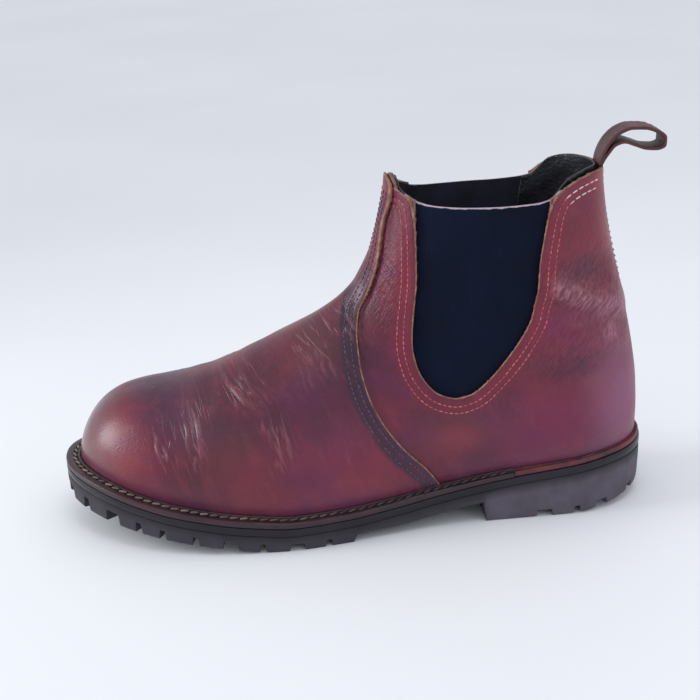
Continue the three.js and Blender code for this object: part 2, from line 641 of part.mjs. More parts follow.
const finishes = {
  leather: { color: 0x7a2f38, roughness: 0.42, metalness: 0 },
  elastic: { color: 0x121a2b, roughness: 0.9, metalness: 0 },
  lining: { color: 0x17161a, roughness: 0.7, metalness: 0 },
  strap: { color: 0x5a2f26, roughness: 0.6, metalness: 0 },
  welt: { color: 0x4c2a22, roughness: 0.6, metalness: 0 },
  thread: { color: 0xa98a6c, roughness: 0.8, metalness: 0 },
  rubber: { color: 0x24242a, roughness: 0.7, metalness: 0 },
  insole: { color: 0xb08a60, roughness: 0.8, metalness: 0 },
  stiffener: { color: 0x9a8a70, roughness: 0.9, metalness: 0 },
  cork: { color: 0xa07850, roughness: 0.95, metalness: 0 },
  steel: { color: 0x9a9da0, roughness: 0.35, metalness: 1 },
};

const boot = new THREE.Group();
function place(name, made, finish) {
  const mesh = new THREE.Mesh(geometryOf(made), new THREE.MeshStandardMaterial(finishes[finish]));
  mesh.name = name;
  boot.add(mesh);
}

place("outsole", outsole(), "rubber");
place("midsole", nailed(midsole()), "rubber");
place("welt", weltPiece(), "welt");
place("heel_rand", heelRand(), "welt");
place("welt_thread", weltThread(), "thread");
place("insole", nailed(insolePlate()), "insole");
place("heel_sock", sockLiner(), "lining");
place("insole_rib", insoleRib(), "stiffener");
place("cork_filler", nailed(cork()).subtract(shankSlab(LAYER_GAP)), "cork");
place("shank", shankSlab(0), "steel");
NAILS.forEach((at, i) => place(`heel_nail_${i + 1}`, nail(at, 0), "steel"));
place("vamp", vamp(), "leather");
place("quarter_lateral", quarter(lateralHalf), "leather");
place("quarter_medial", quarter(medialHalf), "leather");
place("gore_lateral", gore(lateralHalf), "elastic");
place("gore_medial", gore(medialHalf), "elastic");
place("toe_puff", puff(), "stiffener");
place("heel_counter", counter(), "stiffener");
place("vamp_lining", vampLining(), "lining");
place("quarter_lining", quarterLining(), "lining");
place("pull_loop", pullLoop(), "strap");
place("pull_loop_tail", strapTail(), "strap");

const bounds = new THREE.Box3().setFromObject(boot);
const middle = bounds.getCenter(new THREE.Vector3());
boot.position.set(-middle.x, -middle.y, -bounds.min.z);

export default boot;
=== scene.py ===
"""A left Chelsea boot: creased oxblood leather, elastic gores, a stitched welt and a lugged rubber sole.

Shapes are worked out in millimetres in the design's own frame: x = 0 is near the back of the heel, y = 0
is the middle of the heel and z = 0 is the ground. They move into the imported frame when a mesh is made.
"""

import math

import bmesh
import bpy
import numpy as np
from mathutils import Matrix, Vector
from mathutils.bvhtree import BVHTree


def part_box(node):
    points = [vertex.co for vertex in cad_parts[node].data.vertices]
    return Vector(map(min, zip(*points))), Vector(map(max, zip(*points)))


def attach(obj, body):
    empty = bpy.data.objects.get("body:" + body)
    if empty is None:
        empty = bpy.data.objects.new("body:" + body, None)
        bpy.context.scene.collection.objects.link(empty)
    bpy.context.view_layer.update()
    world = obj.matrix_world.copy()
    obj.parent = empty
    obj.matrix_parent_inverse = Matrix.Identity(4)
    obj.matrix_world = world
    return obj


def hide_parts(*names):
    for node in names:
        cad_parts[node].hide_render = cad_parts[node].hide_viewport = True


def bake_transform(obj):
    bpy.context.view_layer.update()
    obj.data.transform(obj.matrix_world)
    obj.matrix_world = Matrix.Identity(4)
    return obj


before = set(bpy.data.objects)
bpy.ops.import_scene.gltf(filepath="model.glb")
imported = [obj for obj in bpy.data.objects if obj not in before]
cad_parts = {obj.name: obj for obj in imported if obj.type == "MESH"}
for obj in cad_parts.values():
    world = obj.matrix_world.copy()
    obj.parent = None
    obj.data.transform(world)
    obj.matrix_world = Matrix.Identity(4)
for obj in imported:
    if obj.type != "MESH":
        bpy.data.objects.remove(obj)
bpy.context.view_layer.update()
RANDOM_SEED = 7

# ---- Driving dimensions ----

MM = 0.001
TINY = 1e-12
TOE_X = 297.0  # tip of the upper where it meets the welt
HEEL_X = 1.7  # back of the upper where it meets the heel rand
FAN_X = 166.0  # ahead of this the cross-sections stand upright; behind it they fan round the instep
ARCH_POWER = 2.2  # roundness of the toe, in plan and in section
TOE_ROUND = 62.0  # length of the toe's rounding in plan
HEEL_ROUND = 40.0  # radius of the heel's rounding in plan
SWELL = 0.045  # how much the foot's sides bulge above the feather line
SWELL_HEIGHT = 45.0
TOE_SECTION_POWER = 2.3  # squareness of the first cross-section over the toe
HEEL_RIDGE_ROUND = 72.0  # length of the rounding in from the ridge line, at the heel's corner
SHAFT_RIDGE_ROUND = 50.0  # and at the top of the shaft
LEATHER = 2.0
GORE_DEPTH = 2.3  # depth of the gore's outer face under the leather's
GORE_THICK = 1.1
GORE_MARGIN = 5.5  # how far the gore reaches behind the quarter
GORE_DROP = 0.9  # the gore's top lies this far under the leather's
LINING_DEPTH = 3.6
LINING_THICK = 1.0
WINDOW_MARGIN = 3.5  # how far the lining overlaps the gore's window
VAMP_LIFT = 1.15  # the vamp lies on the quarters
VAMP_OVERLAP = 7.0  # how far the quarter reaches under it
WELT = 3.1
MIDSOLE = 4.4
LAYER_GAP = 0.3
SKIN_GAP = 0.05  # hair's gap between the sole's layers
MIDSOLE_TOP = WELT + SKIN_GAP
OUTSOLE_TOP = WELT + MIDSOLE + SKIN_GAP
WELT_INNER = 3.4  # the welt and the rand reach this far in under the upper
WELT_SEAM = 3.1  # offset of the seam thread from the upper
WELT_START = 72.0  # the welt runs from here round the toe; behind it lies the heel rand
HEEL_BREAST = 86.5  # front face of the heel
TREAD_START = 155.5  # back edge of the forepart tread
TREAD_DEPTH = 4.0
SOLE_BACK, SOLE_FRONT = -0.9, 305.0
GROOVE_FLARE = 0.8
CENTRE_GROOVE = 5.2
EDGE_SINK = 0.5  # a cut edge rolls in by this much
EDGE_SINK_WIDTH = 1.1
FURROW_WIDTH = 0.9  # of the furrow that a row of stitches lies in
STRAP_WIDTH = 16.0
STRAP_THICK = 1.8
STRAP_END_THICK = 0.55  # the sewn-in ends are pared thin
STRAP_SQUARE = 0.28  # power that squares the strap's round profile
STRAP_ROW = 6.2  # distance of its stitches from its middle

# Rows of stitches by their distance from the edge they follow; stitches by length, width and height.
VAMP_ROWS = (3.4, 6.8)
GORE_ROWS = (4.6, 8.0)
TOPLINE_ROWS = (4.6, 8.4)
FINE_PITCH, TOPLINE_PITCH, BACK_PITCH, STRAP_PITCH, WELT_PITCH = 2.7, 4.0, 3.2, 3.4, 5.0
VAMP_STITCH = (2.1, 0.75, 0.55)
GORE_STITCH = (2.1, 0.7, 0.5)
TOPLINE_STITCH = (3.2, 0.8, 0.6)
BACK_STITCH = (4.2, 0.9, 0.8)
STRAP_STITCH = (2.4, 0.7, 0.4)
WELT_STITCH = (4.3, 1.5, 1.3)

# Outlines as points (x, z) in side view, or as values (x, value) along the boot.

TOP_LINE = [
    (297, 33.5), (296.4, 39.5), (294.6, 46), (291.3, 52.8), (286.6, 59.2), (280.4, 64.6), (272, 68.8),
    (261, 71.6), (248, 73.6), (235, 76.4), (220, 81), (203, 88.4), (185, 97.3), (166, 107), (153, 115.6),
    (144.5, 126), (138.5, 138), (134.5, 150), (131.5, 163), (129.3, 177), (128.5, 184),
]
TOP_BEHIND_FAN = 144.0
BACK_LINE = [
    (1.7, 34), (1.3, 48), (1.8, 62), (4, 79), (7.5, 98), (12, 120), (16.5, 140), (19.6, 158), (21, 172),
    (21.5, 184),
]
FEATHER = [
    (0, 34), (20, 33), (45, 30), (71, 27), (90, 24.3), (111, 21), (132, 18), (157, 16), (185, 15.5),
    (207, 17.5), (231, 21.2), (252, 25.2), (268, 28.4), (285, 31.6), (297, 33.5),
]
LATERAL = [
    (0, 34), (40, 35), (80, 35.5), (110, 37.5), (140, 43), (165, 49), (190, 53), (215, 53.5), (240, 51.5),
    (265, 47), (297, 38),
]
MEDIAL = [
    (0, 33), (40, 33.5), (80, 31.5), (110, 31.5), (140, 36), (165, 41), (190, 45.5), (215, 47), (240, 46.5),
    (265, 43), (297, 35),
]
MIDDLE_Y = [(0, 0), (120, 0), (200, -1.5), (260, -4), (297, -5.5)]
# By height.
SHAFT_HALF = [(30, 34), (55, 35.5), (85, 33.5), (115, 32), (145, 32.5), (184, 33.5)]
BLEND_HEIGHT = [(0, 70), (120, 75), (155, 110), (190, 210), (230, 400), (300, 400)]
SOLE_EDGE = [(0, 2.6), (30, 3.2), (80, 4.6), (120, 5.6), (170, 6.9), (220, 7.4), (297, 8)]
TREAD = [
    (120, 0), (192, 0), (205, 0.8), (220, 3), (240, 6.2), (260, 9.4), (280, 12.4), (297, 14.8), (306, 16),
]
HEEL_TREAD = [(-5, 7.4), (10, 4.6), (25, 2), (40, 0.5), (50, 0), (100, 0)]
BASE_THICK = [(0, 5.5), (130, 5.5), (152, 4), (306, 4)]
TOPLINE = [
    (10, 175.5), (20, 175.5), (27, 176.2), (34, 175.4), (41, 173.3), (47, 170), (52, 166.4), (60, 165),
    (76, 164.3), (92, 164.4), (107, 165), (117, 166.6), (123, 169.6), (126.5, 171.6), (129.4, 176.6),
    (140, 178),
]
SEAM = [
    (128, 190), (127.4, 171), (132, 152), (135.5, 134), (141, 119), (146.5, 108), (148, 97), (147.4, 85),
    (144.3, 71), (138.6, 58.5), (128.6, 44.5), (116, 31), (104, 12),
]
GORE = [
    (118.5, 190), (118, 168), (117.3, 151), (117.6, 129), (120, 107), (120.8, 94), (119, 83.5), (114.5, 75),
    (108, 69.4), (100, 67.4), (92.8, 69.2), (86, 74.2), (77.4, 83.6), (68, 95.5), (62, 107), (59.3, 120),
    (57.8, 136), (55.2, 152), (52, 168), (50, 190),
]
# The stitched edge of a quarter: along the front's top, round the gore and along the topline to the back.
QUARTER_EDGE = [
    (126, 171.4), (122, 169.4), (119.4, 166), (118, 160), *GORE[2:18],
    (52.6, 162), (48, 169), (41, 173.3), (34, 175.4), (27, 176.2), (21.5, 175.6),
]
LOOP = [
    (22.6, 178.4), (20.7, 183.6), (17.4, 188.4), (12.8, 192), (7.4, 193.6), (1, 193.3), (-5, 191.3),
    (-9, 188.1), (-8.8, 184.4), (-5, 182.8), (0.5, 183.3), (6, 185.3), (11.4, 187),
]
# Grooves across the sole's edge: middle and width.
FORE_GROOVES = [
    (168.3, 2.2), (184.4, 6.5), (201.4, 2.2), (217.8, 6.5), (235.1, 2.2), (251.7, 2.2), (264, 2.2),
    (277.8, 6), (292.6, 2.2), (302.2, 2.2),
]
HEEL_GROOVES = [(56.2, 7), (38.8, 2.2), (25.4, 5.5), (8, 2.2)]
CENTRE_GROOVES = [170, 190, 210, 230, 250, 270]  # middles of those across the middle of the forepart


# ---- Curves ----


def through(points):
    """A smooth function through points in order of x: straight beyond its ends, level where it turns."""
    xs, ys = np.array(points, float).T
    slopes = np.diff(ys) / np.diff(xs)
    before, after = slopes[:-1], slopes[1:]
    same = before * after > 0
    inner = np.where(same, 2 * before * after / np.where(same, before + after, 1), 0)
    tangents = np.concatenate([slopes[:1], inner, slopes[-1:]])

    def value(x):
        x = np.asarray(x, float)
        i = np.clip(np.searchsorted(xs, x) - 1, 0, len(xs) - 2)
        span = xs[i + 1] - xs[i]
        t = np.clip((x - xs[i]) / span, 0, 1)
        rise = t * t * (3 - 2 * t)
        leave = t * (1 - t) ** 2 * span * tangents[i]
        arrive = -t * t * (1 - t) * span * tangents[i + 1]
        inside = ys[i] + (ys[i + 1] - ys[i]) * rise + leave + arrive
        below = tangents[0] * np.minimum(x - xs[0], 0)
        above = tangents[-1] * np.maximum(x - xs[-1], 0)
        return inside + below + above

    return value


class Path:
    """A smooth path through points, by distance along it."""

    def __init__(self, points):
        points = np.array(points, float)
        at = np.concatenate([[0], np.cumsum(np.linalg.norm(np.diff(points, axis=0), axis=1))])
        self.length = at[-1]
        self.parts = [through(np.column_stack([at, column])) for column in points.T]

    def __call__(self, s):
        return np.stack([part(s) for part in self.parts], -1)

    def samples(self, count):
        return self(np.linspace(0, self.length, count))


def mix(a, b, t):
    return a + (b - a) * t


def clamp(t):
    return np.clip(t, 0, 1)


def smooth(t):
    return clamp(t) ** 2 * (3 - 2 * clamp(t))


def arch(t, power=2.0):
    return (1 - (1 - clamp(t)) ** power) ** (1 / power)


ridge = Path(TOP_LINE)
back = Path(BACK_LINE)
back_x = through([(z, x) for x, z in BACK_LINE])
feather = through(FEATHER)
lateral = through(LATERAL)
medial = through(MEDIAL)
middle_y = through(MIDDLE_Y)
shaft_half = through(SHAFT_HALF)
blend_height = through(BLEND_HEIGHT)
sole_edge = through(SOLE_EDGE)
tread = through(TREAD)
heel_tread = through(HEEL_TREAD)
base_thick = through(BASE_THICK)
topline = through(TOPLINE)


# ---- The sole's outline ----


def outline_point(s, side):
    """The feather outline in plan: s runs from the back of the heel, 0, to the tip of the toe, 1."""
    x = mix(HEEL_X, TOE_X, (1 - np.cos(np.pi * clamp(s))) / 2)
    rounding = arch((TOE_X - x) / TOE_ROUND, ARCH_POWER) * arch((x - HEEL_X) / HEEL_ROUND)
    half = np.where(side > 0, lateral(x), medial(x)) * rounding
    return np.stack([x, middle_y(x) + side * half], -1)


def edge_point(s, side, offset):
    """A point of the outline moved out by offset."""
    s = np.asarray(s, float)
    step = 0.004
    here = outline_point(s, side)
    along = outline_point(s + step, side) - outline_point(s - step, side)
    normal = np.stack([-along[..., 1], along[..., 0]], -1) * side
    normal /= np.linalg.norm(normal, axis=-1, keepdims=True) + TINY
    at_heel, at_toe = (s <= 0)[..., None], (s >= 1)[..., None]
    normal = np.where(at_heel, np.array([-1.0, 0.0]), np.where(at_toe, np.array([1.0, 0.0]), normal))
    return here + normal * np.asarray(offset)[..., None]


outline_s = np.linspace(0, 1, 2001)
lateral_edge = edge_point(outline_s, 1, sole_edge(outline_point(outline_s, 1)[:, 0]))
medial_edge = edge_point(outline_s, -1, sole_edge(outline_point(outline_s, -1)[:, 0]))


def s_at_edge_x(x):
    return float(np.interp(x, lateral_edge[:, 0], outline_s))


sole_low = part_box("outsole")[0]
# Moves the design's frame, in millimetres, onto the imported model's.
SHIFT = np.array([sole_low.x / MM - lateral_edge[:, 0].min(), sole_low.y / MM - medial_edge[:, 1].min(), 0.0])


def to_row(points):
    return (np.asarray(points, float) + SHIFT) * MM


# ---- Meshes ----


def make_piece(name, vertices, faces, materials, body="boot", replaces=()):
    """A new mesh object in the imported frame, riding on a body."""
    mesh = bpy.data.meshes.new(name)
    mesh.from_pydata(to_row(vertices).tolist(), [], [list(map(int, face)) for face in faces])
    for material in materials:
        mesh.materials.append(material)
    mesh.update()
    piece = bpy.data.objects.new(name, mesh)
    bpy.context.scene.collection.objects.link(piece)
    if body:
        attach(piece, body)
    if replaces:
        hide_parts(*replaces)
    return piece


def tidy_mesh(piece, merge=0.02, angle=40):
    """Merges coinciding points, turns faces outward and shades smooth, but for edges sharper than angle."""
    work = bmesh.new()
    work.from_mesh(piece.data)
    bmesh.ops.remove_doubles(work, verts=work.verts, dist=merge * MM)
    bmesh.ops.dissolve_degenerate(work, edges=work.edges, dist=merge * MM)
    bmesh.ops.recalc_face_normals(work, faces=work.faces)
    work.to_mesh(piece.data)
    work.free()
    smooth_shade(piece, angle)


def smooth_shade(piece, angle=40):
    piece.data.shade_smooth()
    piece.data.set_sharp_from_angle(angle=math.radians(angle))


def paint(piece, **values):
    """Stores named numbers on the mesh's points for its material to read."""
    for name, numbers in values.items():
        attribute = piece.data.attributes.new(name, "FLOAT", "POINT")
        attribute.data.foreach_set("value", np.asarray(numbers, np.float32))


def grid_faces(rows, columns, close_columns=False):
    index = np.arange(rows * columns).reshape(rows, columns)
    if close_columns:
        index = np.column_stack([index, index[:, 0]])
    quads = np.stack([index[:-1, :-1], index[:-1, 1:], index[1:, 1:], index[1:, :-1]], -1)
    return quads.reshape(-1, 4).tolist()


def point_normals(points, faces):
    """Area-weighted normals of a mesh's points."""
    normals = np.zeros_like(points)
    corners = np.array([face if len(face) == 4 else [*face, face[-1]] for face in faces])
    a, b, c, d = (points[corners[:, k]] for k in range(4))
    face_normals = np.cross(c - a, d - b)
    for k in range(4):
        np.add.at(normals, corners[:, k], face_normals)
    return normals / (np.linalg.norm(normals, axis=1, keepdims=True) + TINY)


def clip(data, faces, keep):
    """Cuts a mesh along the line where keep(data) is 0 and drops the side where it is negative.
    Each row of data holds a point's values, and new points on the cut get values in between."""
    value = keep(data)
    inside = value >= 0
    added, cut, kept = [], {}, []
    for face in faces:
        flags = [inside[i] for i in face]
        if all(flags):
            kept.append(face)
            continue
        if not any(flags):
            continue
        polygon = []
        for a, b in zip(face, [*face[1:], face[0]]):
            if inside[a]:
                polygon.append(a)
            if inside[a] != inside[b]:
                key = (min(a, b), max(a, b))
                if key not in cut:
                    share = value[a] / (value[a] - value[b])
                    cut[key] = len(data) + len(added)
                    added.append(mix(data[a], data[b], share))
                polygon.append(cut[key])
        if len(polygon) > 2:
            kept.append(polygon)
    if added:
        data = np.vstack([data, added])
    used = np.zeros(len(data), bool)
    for face in kept:
        used[face] = True
    new_index = np.cumsum(used) - 1
    return data[used], [[int(new_index[i]) for i in face] for face in kept]


def signed_distance(points, line):
    """Distance of side-view points from a line, positive on the line's right."""
    a, b = line[:-1], line[1:]
    span = b - a
    length2 = (span**2).sum(1)
    best = np.full(len(points), 1e9)
    sign = np.ones(len(points))
    for start, reach, squared in zip(a, span, length2):
        offset = points - start
        along = clamp((offset @ reach) / squared)
        away = np.linalg.norm(offset - along[:, None] * reach, axis=1)
        closer = away < best - 1e-9
        best = np.where(closer, away, best)
        side = reach[0] * offset[:, 1] - reach[1] * offset[:, 0]
        sign = np.where(closer, np.where(side > 0, -1, 1), sign)
    return best * sign


# ---- The upper's master surface ----

FORE_ROWS, FAN_ROWS, BACK_ROWS = 250, 110, 104
SIDE_COLUMNS = 136


def section_ends(u):
    """Ends of a cross-section in side view: u is 0 to 1 over the toe, to 2 round the fan, to 3 up the back."""
    fore, fan, rise = clamp(u), clamp(u - 1), clamp(u - 2)
    fine = np.linspace(0, ridge.length, 4000)
    ridge_x = ridge(fine)[:, 0]
    at_fan, at_corner = (np.interp(-x, -ridge_x, fine) for x in (FAN_X, TOP_BEHIND_FAN))
    fore_x = mix(TOE_X, FAN_X, mix(1 - np.cos(fore * np.pi / 2), fore, 0.35))
    fore_s = np.interp(-fore_x, -ridge_x, fine)
    fan_s = mix(at_fan, at_corner, fan)
    back_s = mix(at_corner, ridge.length, rise)
    top = ridge(np.where(u <= 1, fore_s, np.where(u <= 2, fan_s, back_s)))
    fan_x = mix(FAN_X, HEEL_X, mix(fan, np.sin(fan * np.pi / 2), 0.6))
    foot_x = np.where(u <= 1, fore_x, fan_x)
    foot = np.stack([foot_x, feather(foot_x)], -1)
    end = np.where((u <= 2)[..., None], foot, back(back.length * rise))
    return top, end


def upper_point(u, t, side):
    """The outer surface before it is creased: t runs from the ridge line down one side."""
    top, end = section_ends(u)
    x = mix(top[..., 0], end[..., 0], t)
    z = mix(top[..., 1], end[..., 1], t)
    length = np.linalg.norm(top - end, axis=-1)
    fan_round = mix(length, HEEL_RIDGE_ROUND, clamp(u - 1))
    back_round = mix(HEEL_RIDGE_ROUND, SHAFT_RIDGE_ROUND, clamp(u - 2))
    rounding = np.where(u <= 1, length, np.where(u <= 2, fan_round, back_round))
    outline = np.where(side > 0, lateral(x), medial(x)) * arch((TOE_X - x) / TOE_ROUND, ARCH_POWER)
    above = np.maximum(0, z - feather(x))
    blend = smooth(above / blend_height(x))
    swell = 1 + SWELL * np.sin(np.pi * clamp(above / SWELL_HEIGHT))
    power = mix(TOE_SECTION_POWER, 2.0, clamp(u))
    from_ridge = arch(t * length / np.maximum(rounding, 1e-6), power)
    from_back = arch((x - back_x(z)) / HEEL_ROUND)
    half = mix(outline * swell, shaft_half(z), blend) * from_ridge * from_back
    return np.stack([x, middle_y(x) + side * half, z], -1)


def blended_normals(normals, closed, reach=9):
    """Averages a grid's normals over reach rows on each side, so that layers moved in along them never fold
    over. The tip of the toe and the closed rows' seam up the back keep their own."""
    count = len(normals)
    padded = np.pad(normals, ((reach, reach), (0, 0), (0, 0)), mode="edge")
    blended = sum(padded[i : i + count] for i in range(2 * reach + 1))
    blended[0] = normals[0]
    blended[closed, 0] = normals[closed, 0]
    blended[closed, -1] = normals[closed, -1]
    blended /= np.linalg.norm(blended, axis=2, keepdims=True)
    return blended.reshape(-1, 3)


def master_surface():
    """One mesh of the whole upper. Returns its points, its faces and its normals."""
    u = np.concatenate(
        [
            np.linspace(0, 1, FORE_ROWS, endpoint=False),
            np.linspace(1, 2, FAN_ROWS, endpoint=False),
            np.linspace(2, 3, BACK_ROWS),
        ]
    )
    k = np.linspace(0, 1, SIDE_COLUMNS)
    t = mix((1 - np.cos(np.pi * k)) / 2, k, 0.3)
    down = np.concatenate([t[::-1], t[1:]])
    side = np.concatenate([np.ones(SIDE_COLUMNS), -np.ones(SIDE_COLUMNS - 1)])
    points = upper_point(u[:, None], down[None, :], side[None, :])
    rows, columns = points.shape[:2]
    index = np.arange(rows * columns).reshape(rows, columns)
    closed = u >= 2 - TINY
    index[0, :] = index[0, 0]
    index[closed, -1] = index[closed, 0]
    flat = points.reshape(-1, 3)
    quads = np.stack([index[:-1, :-1], index[1:, :-1], index[1:, 1:], index[:-1, 1:]], -1).reshape(-1, 4)
    faces = []
    for quad in quads.tolist():
        ring = [v for i, v in enumerate(quad) if v != quad[i - 1]]
        if len(ring) > 2:
            faces.append(ring)
    normals = point_normals(flat, faces)
    normals = blended_normals(normals[index], closed)
    sides = np.broadcast_to(side, (rows, columns)).reshape(-1)
    outward = (normals[:, 1] * sides * (np.abs(normals[:, 1]) > 0.5)).sum()
    if outward < 0:
        faces = [face[::-1] for face in faces]
        normals = -normals
    return flat, faces, normals, sides


master, master_faces, master_normals, master_side = master_surface()
side_view = master[:, [0, 2]]
seam_line = Path(SEAM).samples(240)
gore_line = Path(GORE).samples(320)
quarter_edge = Path(QUARTER_EDGE).samples(320)
# Positive on the quarters' side of the vamp's edge, and outside the gore's window.
past_seam = signed_distance(side_view, seam_line)
past_gore = -signed_distance(side_view, gore_line)
past_edge = -signed_distance(side_view, quarter_edge)


# ---- Creases ----


def patch(x, z, width, height, amount=1.0):
    """A soft oval patch of the side view."""
    across, up = (side_view[:, 0] - x) / width, (side_view[:, 1] - z) / height
    return amount * np.exp(-(across**2) - up**2)


def crease(points, start, end, height, width, wander, phase):
    """A soft ridge with a sharper valley beside it, along a slightly wavy line in side view."""
    start, end = np.array(start, float), np.array(end, float)
    span = end - start
    length = np.linalg.norm(span)
    along_axis = span / length
    across_axis = np.array([-along_axis[1], along_axis[0]])
    offset = points - start
    along = offset @ along_axis / length
    wave = wander * np.sin(along * 5.5 + phase) + 0.4 * wander * np.sin(along * 13 + 2 * phase)
    across = offset @ across_axis - wave
    fade = np.sin(np.pi * clamp(along)) ** 0.7
    hill = np.exp(-((across / width) ** 2))
    valley = np.exp(-(((across - 1.5 * width) / (0.8 * width)) ** 2))
    return height * fade * (hill - 0.7 * valley)


# Groups of creases in side view: top, foot, spread along the boot, how many, height, width.
CREASE_GROUPS = [
    ((251, 60), (246, 42), 6, 3, 0.3, 0.95),
    ((237, 73), (229, 42), 9, 5, 0.36, 1.0),
    ((214, 83), (197, 68), 16, 6, 0.3, 1.0),
    ((197, 68), (187, 42), 13, 6, 0.34, 1.0),
    ((161, 54), (157, 36), 22, 3, 0.16, 1.2),
]
# Scattered creases: lowest and highest x, lowest and highest z, how many, height, width.
INSTEP_CREASES = (145, 181, 90, 113, 20, 0.26, 0.85)
ANKLE_CREASES = (14, 50, 96, 146, 26, 0.3, 1.5)
RIDGE_FADE = 14.0  # creases fade towards the ridge line over this width


def fine_creases(side):
    """Height of the sharp creases over the master surface, on one side of the boot."""
    random = np.random.default_rng(RANDOM_SEED + (0 if side > 0 else 1))
    total = np.zeros(len(side_view))
    for top, foot, spread, count, height, width in CREASE_GROUPS:
        for i in range(count):
            shift = np.array([((i + random.uniform(0.2, 0.8)) / count - 0.5) * spread, 0])
            span = np.subtract(foot, top)
            start = top + shift + span * random.uniform(-0.1, 0.3)
            end = foot + shift - span * random.uniform(-0.1, 0.3)
            tall = random.uniform(0.6, 1.2) * height
            wide = random.uniform(0.7, 1.2) * width
            total += crease(side_view, start, end, tall, wide, 0.6, random.uniform(0, 6))
    low, high, bottom, top, count, height, width = INSTEP_CREASES
    for _ in range(count):
        x = random.uniform(low, high)
        z = mix(top, bottom, (x - low) / (high - low)) - random.uniform(0, 14)
        reach = random.uniform(6, 13)
        end = (x - reach * 0.45, z - reach)
        tall = random.uniform(0.6, 1.2) * height
        total += crease(side_view, (x, z), end, tall, width, 0.4, random.uniform(0, 6))
    low, high, bottom, top, count, height, width = ANKLE_CREASES
    for _ in range(count):
        x, z = random.uniform(low, high), random.uniform(bottom, top)
        reach = random.uniform(6, 18)
        start, end = (x - reach / 2, z + reach * 0.22), (x + reach / 2, z - reach * 0.2)
        tall = random.uniform(0.4, 1.2) * height
        wide = random.uniform(0.7, 1.3) * width
        total += crease(side_view, start, end, tall, wide, 1.5, random.uniform(0, 6))
    return total


def broad_folds(side):
    """The soft shape under the creases: rolls over the ball and folds down from the back of the ankle."""
    x, z = side_view.T
    ball = np.exp(-(((x - 218) / 22) ** 2)) * smooth((z - 30) / 20)
    total = 0.16 * ball * np.sin((x + 0.25 * z) * 2 * np.pi / 13)
    amount = 1 if side > 0 else 0.6
    total += amount * crease(side_view, (64, 126), (6, 104), 2.6, 6, 1.5, 1.0)
    total += amount * crease(side_view, (84, 76), (8, 92), 1.8, 6, 2, 4.0)
    total -= amount * (patch(33, 130, 14, 8) + patch(40, 84, 22, 10))
    total += 0.25 * np.sin(x / 17 + 1.3) * np.sin(z / 13 + side) * smooth((z - 40) / 30)
    return total


fine = np.where(master_side > 0, fine_creases(1), fine_creases(-1))
broad = np.where(master_side > 0, broad_folds(1), broad_folds(-1))
from_middle = arch(np.abs(master[:, 1] - middle_y(master[:, 0])) / RIDGE_FADE)
creases = (fine + broad) * mix(0.35, 1, from_middle)


# ---- Materials ----


